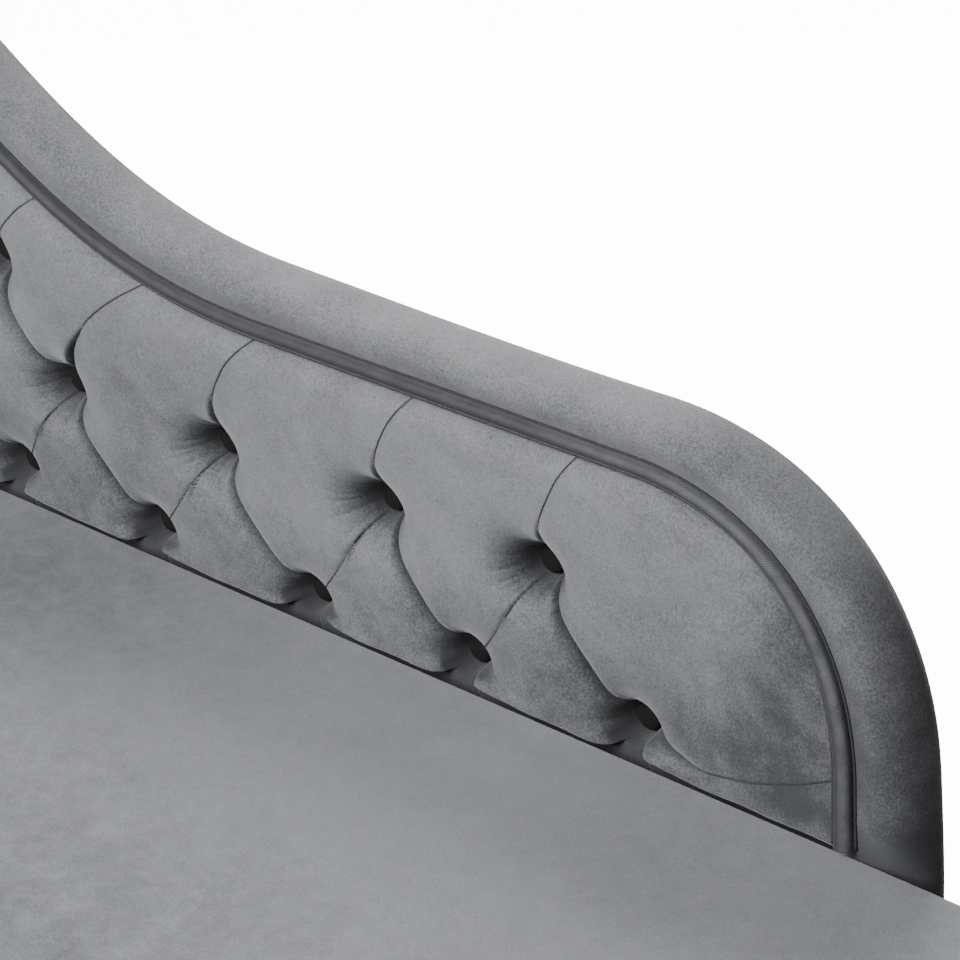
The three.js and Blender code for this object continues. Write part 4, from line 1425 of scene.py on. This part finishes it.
def makeArmCover(line):
    v = arm
    bottom = evenPoints([line[-1], line[0]], v["closingSteps"])[1:-1]
    loop = np.vstack([line, bottom, line[:1]])
    inner = offsetLine(loop, -v["edgeTuck"])
    starts, startShares = np.array(v["drawnInFront"]).T
    ends, endShares = np.array(v["drawnInRear"]).T
    ends = v["rear"] - v["facingRear"] - ends
    between = np.linspace(starts[-1], ends[0], v["betweenSteps"])
    along = np.concatenate([starts[:-1], between, ends[1:]])
    drawn = np.interp(
        along, np.concatenate([starts, ends]), np.concatenate([startShares, endShares]))

    def place(i, j):
        i = i % (len(loop) - 1)
        k = drawn[j][:, None]
        spot = loop[i] * (1 - k) + inner[i] * k
        y = v["facingRear"] + along[j]
        wave = v["uneven"] * unevenness(spot[:, 0], y, spot[:, 1], reach=0.16, seed=8.0)
        out = outwards(loop)[i] * (wave * (1 - drawn[j]) * (i < len(line)))[:, None]
        return np.stack([spot[:, 0] + out[:, 0], y, spot[:, 1] + out[:, 1]], 1)

    bm = closeShape(gridShape(len(loop) - 1, len(along) - 1, place, v["coverSize"]))
    for vert in bm.verts:
        vert.co.z = max(vert.co.z, v["bottom"])
    piece = pieceFrom("scroll_arm_cover", bm, velvet, seamAngle)
    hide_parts("arm_pad")


def makeArmPanel(line):
    v = arm
    facing = offsetLine(line, -(v["weltRadius"] + v["panelGap"]))
    facing[:, 1] = np.maximum(facing[:, 1], v["bottom"])
    bm = filledOutline(facing, v["front"], pitch=0.012)
    x, _, z = placesOf(bm)
    far = nearestOn(np.vstack([facing, facing[:1]]), x, z)[0]
    for vert, d in zip(bm.verts, far):
        drop = v["panelDrop"] * math.exp(-d / v["panelDropReach"])
        swell = v["panelSwell"] * (1 - math.exp(-d / v["panelSwellReach"]))
        vert.co.y = v["front"] + drop - swell
    thicken(bm, v["facingRear"] - v["panelGap"])
    piece = pieceFrom("arm_front_panel", bm, velvet, seamAngle)
    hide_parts("arm_facing")


def makeArmPiping(line):
    v = arm
    welt = line.copy()
    welt[:, 1] = np.maximum(welt[:, 1], v["bottom"] + v["weltLift"])
    bm = tubeAlong(welt, weltSection(v), v["weltSides"], v["weltSteps"])
    piece = pieceFrom("arm_piping", bm, piping, allSmooth)
    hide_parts("arm_welt")


sideOfArm = armLine(count=150)
makeArmCover(sideOfArm)
makeArmPanel(sideOfArm)
makeArmPiping(sideOfArm)
print("arm made")


# The outside back, drawn over its board

outside = {
    "front": 0.3143,
    "rear": 0.320,
    "inset": 0.0066,
    "bottom": 0.150,
    "edgeDrop": 0.0022,
    "edgeReach": 0.005,
    "uneven": 0.0005,
    "unevenFrom": 0.04,
}


def makeOutsideBack():
    v = outside
    outline = offsetLine(evenPoints(backOutline(220, v["bottom"]), 260), -v["inset"])
    outline[:, 1] = np.maximum(outline[:, 1], v["bottom"])
    outline[0, 0], outline[-1, 0] = backLine["foot"] - v["inset"], backLine["head"] + v["inset"]
    bm = filledOutline(outline, v["rear"], pitch=0.025)
    x, _, z = placesOf(bm)
    far = nearestOn(np.vstack([outline, outline[:1]]), x, z)[0]
    waves = v["uneven"] * unevenness(x, 0, z, reach=0.22, seed=11.0)
    for vert, d, wave in zip(bm.verts, far, waves):
        drop = v["edgeDrop"] * math.exp(-d / v["edgeReach"])
        vert.co.y = v["rear"] - drop + wave * (1 - math.exp(-d / v["unevenFrom"]))
    thicken(bm, v["front"])
    piece = pieceFrom("outside_back_cover", bm, velvet, seamAngle)
    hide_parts("back_rear_cover")


makeOutsideBack()
print("outside back made")


# Turned legs

# profile: shares of the radius and of the turned height; eased: how the collar's edges are rounded
leg = {
    "places": {
        "head_front": (-0.693, -0.256), "head_rear": (-0.693, 0.199),
        "foot_front": (0.736, -0.256), "foot_rear": (0.736, 0.199)},
    "radius": 0.030,
    "foot": 0.0043,
    "top": 0.1497,
    "boltRadius": 0.005,
    "boltLength": 0.045,
    "profile": [(0.5, 0), (0.56, 0.04), (0.5, 0.09), (0.6, 0.3), (0.86, 0.6), (0.92, 0.72),
                (0.78, 0.8), (0.7, 0.83), (0.96, 0.87), (0.96, 0.91), (0.74, 0.94),
                (1, 0.955), (1, 1)],
    "eased": {"radius": 0.97, "below": 0.0006, "above": 0.0008, "top": 0.001},
    "sides": 56,
}


def makeLegs():
    v = leg
    tall = v["top"] - v["foot"]
    turned = np.array([(v["radius"] * r, v["foot"] + tall * h) for r, h in v["profile"]])
    collar = turned[-2][1]
    radius, top, bolt, eased = v["radius"], v["top"], v["boltRadius"], v["eased"]
    profile = [(0, v["foot"]), *cutCorners(turned[:-2], times=2)] + [
        (radius * eased["radius"], collar - eased["below"]), (radius, collar + eased["above"]),
        (radius, top - eased["top"]), (radius * eased["radius"], top),
        (bolt, top), (bolt, top + v["boltLength"]), (0, top + v["boltLength"])]
    for name, (x, y) in v["places"].items():
        bm = turnedShape(profile, v["sides"])
        bmesh.ops.translate(bm, verts=bm.verts, vec=(x, y, 0))
        piece = pieceFrom(f"turned_leg_{name}", bm, legWood, smoothAngle=35)
        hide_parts(f"leg_{name}")


makeLegs()
print("legs made")


# Under the seat: dust cloth, webbing straps and the felt over them

under = {
    "clothLow": (-0.7507, -0.3137),
    "clothHigh": (0.7937, 0.2567),
    "clothTop": 0.1496,
    "clothThickness": 0.0008,
    "legHole": 0.0304,
    "holeSides": 40,
    "blockCuts": 8,
    "net": {"start": 0.04, "end": 0.0, "pitch": 0.06},
}


def makeDustCloth():
    v = under
    low, high = v["clothLow"], v["clothHigh"]
    bm = bmesh.new()
    edges = ringOf(bm, levelRectangle(low, high, v["clothTop"]))
    for x, y in leg["places"].values():
        ring = bmesh.ops.create_circle(
            bm, cap_ends=False, segments=v["holeSides"], radius=v["legHole"],
            matrix=Matrix.Translation((x, y, v["clothTop"])))["verts"]
        edges += list({e for vert in ring for e in vert.link_edges})
    fillRings(bm, edges)
    netCuts(bm, low, high, **v["net"])
    makeThick(bm, v["clothThickness"], v["clothTop"], max)
    piece = pieceFrom("dust_cloth", bm, cambric, smoothAngle=30)
    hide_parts("dust_cover")


def makeSoftBlock(name, node, material, edge):
    low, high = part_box(node)
    bm = boxShape(low, high)
    bevelEdges(bm, bm.edges[:], edge, segments=3)
    for axis in range(2):
        planeCuts(bm, axis, np.linspace(low[axis], high[axis], under["blockCuts"])[1:-1])
    piece = pieceFrom(name, bm, material, smoothAngle=40)
    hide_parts(node)
    return piece


makeDustCloth()
for number in range(1, 5):
    strap = makeSoftBlock(f"webbing_strap_{number}", f"seat_strap_{number}", webbing, 0.001)
feltPad = makeSoftBlock("felt_pad", "seat_felt", felt, 0.0015)
print("underside made")


# Timber, board and nylon nodes of the frame keep their own shapes

nodeFinishes = {
    "corner_block": frameWood, "foot_rail": frameWood, "front_rail": frameWood,
    "head_rail": frameWood, "rear_rail": frameWood, "seat_stretcher": frameWood,
    "back_bottom_rail": frameWood, "back_upright": frameWood, "arm_rail": frameWood,
    "arm_front_board": board, "arm_rear_board": board, "back_board": board, "glide": nylon,
}
for name, node in nodes.items():
    for start, material in nodeFinishes.items():
        if name.startswith(start) and not node.hide_render:
            for slot in node.material_slots:
                slot.material = material
print("frame nodes finished")


# Floor, light and camera

studio = {
    "floorReach": 40.0,
    "glow": 13.0,
    "fillLight": 0.09,
}


def makeFloor():
    material = makeSpeckled(
        "paleFloor", (0.62, 0.62, 0.62), (0.66, 0.66, 0.66), roughness=0.6, scale=3.0, detail=3.0)
    tree = material.node_tree
    glow = put(tree, "ShaderNodeEmission", {
        "Color": (studio["glow"],) * 3 + (1.0,),
        "Strength": put(tree, "ShaderNodeLightPath").outputs["Is Camera Ray"]})
    both = put(tree, "ShaderNodeAddShader", {
        0: tree.nodes["Principled BSDF"].outputs[0], 1: glow.outputs[0]})
    tree.links.new(both.outputs[0], tree.nodes["Material Output"].inputs["Surface"])
    bm = bmesh.new()
    bmesh.ops.create_grid(bm, x_segments=8, y_segments=8, size=studio["floorReach"])
    mesh = meshFrom("studio_floor", bm)
    mesh.materials.append(material)
    addObject("studio_floor", mesh)


lights = {
    "key": {"place": (-0.15, -1.75, 2.0), "aim": (0, 0.1, 0.5), "size": 1.3, "power": 150},
    "fill": {"place": (2.4, -2.2, 1.6), "aim": (0, 0.1, 0.5), "size": 2.2, "power": 2},
    "rear": {"place": (-0.8, 1.7, 2.3), "aim": (0, 0.2, 0.6), "size": 1.3, "power": 110},
}


def makeLights():
    for name, v in lights.items():
        lamp = bpy.data.lights.new(name, "AREA")
        lamp.energy = v["power"]
        lamp.size = v["size"]
        light = addObject(name, lamp)
        light.location = v["place"]
        aim = Vector(v["aim"]) - Vector(v["place"])
        light.rotation_euler = aim.to_track_quat("-Z", "Y").to_euler()
    world = bpy.data.worlds.new("studio")
    world.use_nodes = True
    tree = world.node_tree
    sky = tree.nodes["Background"].inputs
    sky["Color"].default_value = (1.0, 1.0, 1.0, 1.0)
    seen = put(tree, "ShaderNodeLightPath").outputs["Is Camera Ray"]
    strength = maths(tree, "MULTIPLY_ADD", seen, studio["glow"], studio["fillLight"])
    tree.links.new(strength, sky["Strength"])
    bpy.context.scene.world = world


cameraView = {
    "place": (1.36637, -1.03286, 1.56614),
    "azimuth": 43.609,
    "elevation": 28.444,
    "roll": -3.709,
    "lens": 120.0,
}


def makeCamera():
    v = cameraView
    a, e, r = (math.radians(v[k]) for k in ("azimuth", "elevation", "roll"))
    ahead = Vector((-math.sin(a) * math.cos(e), math.cos(a) * math.cos(e), -math.sin(e)))
    right = Vector((math.cos(a), math.sin(a), 0))
    up = right.cross(ahead)
    across = math.cos(r) * right + math.sin(r) * up
    upwards = -math.sin(r) * right + math.cos(r) * up
    turn = Matrix((across, upwards, -ahead)).transposed().to_4x4()
    data = bpy.data.cameras.new("photoCamera")
    data.lens = v["lens"]
    data.sensor_width = 36.0
    data.clip_start, data.clip_end = 0.05, 60.0
    camera = addObject("photoCamera", data)
    camera.matrix_world = Matrix.Translation(v["place"]) @ turn
    bpy.context.scene.camera = camera


makeFloor()
makeLights()
makeCamera()
print("stage made")
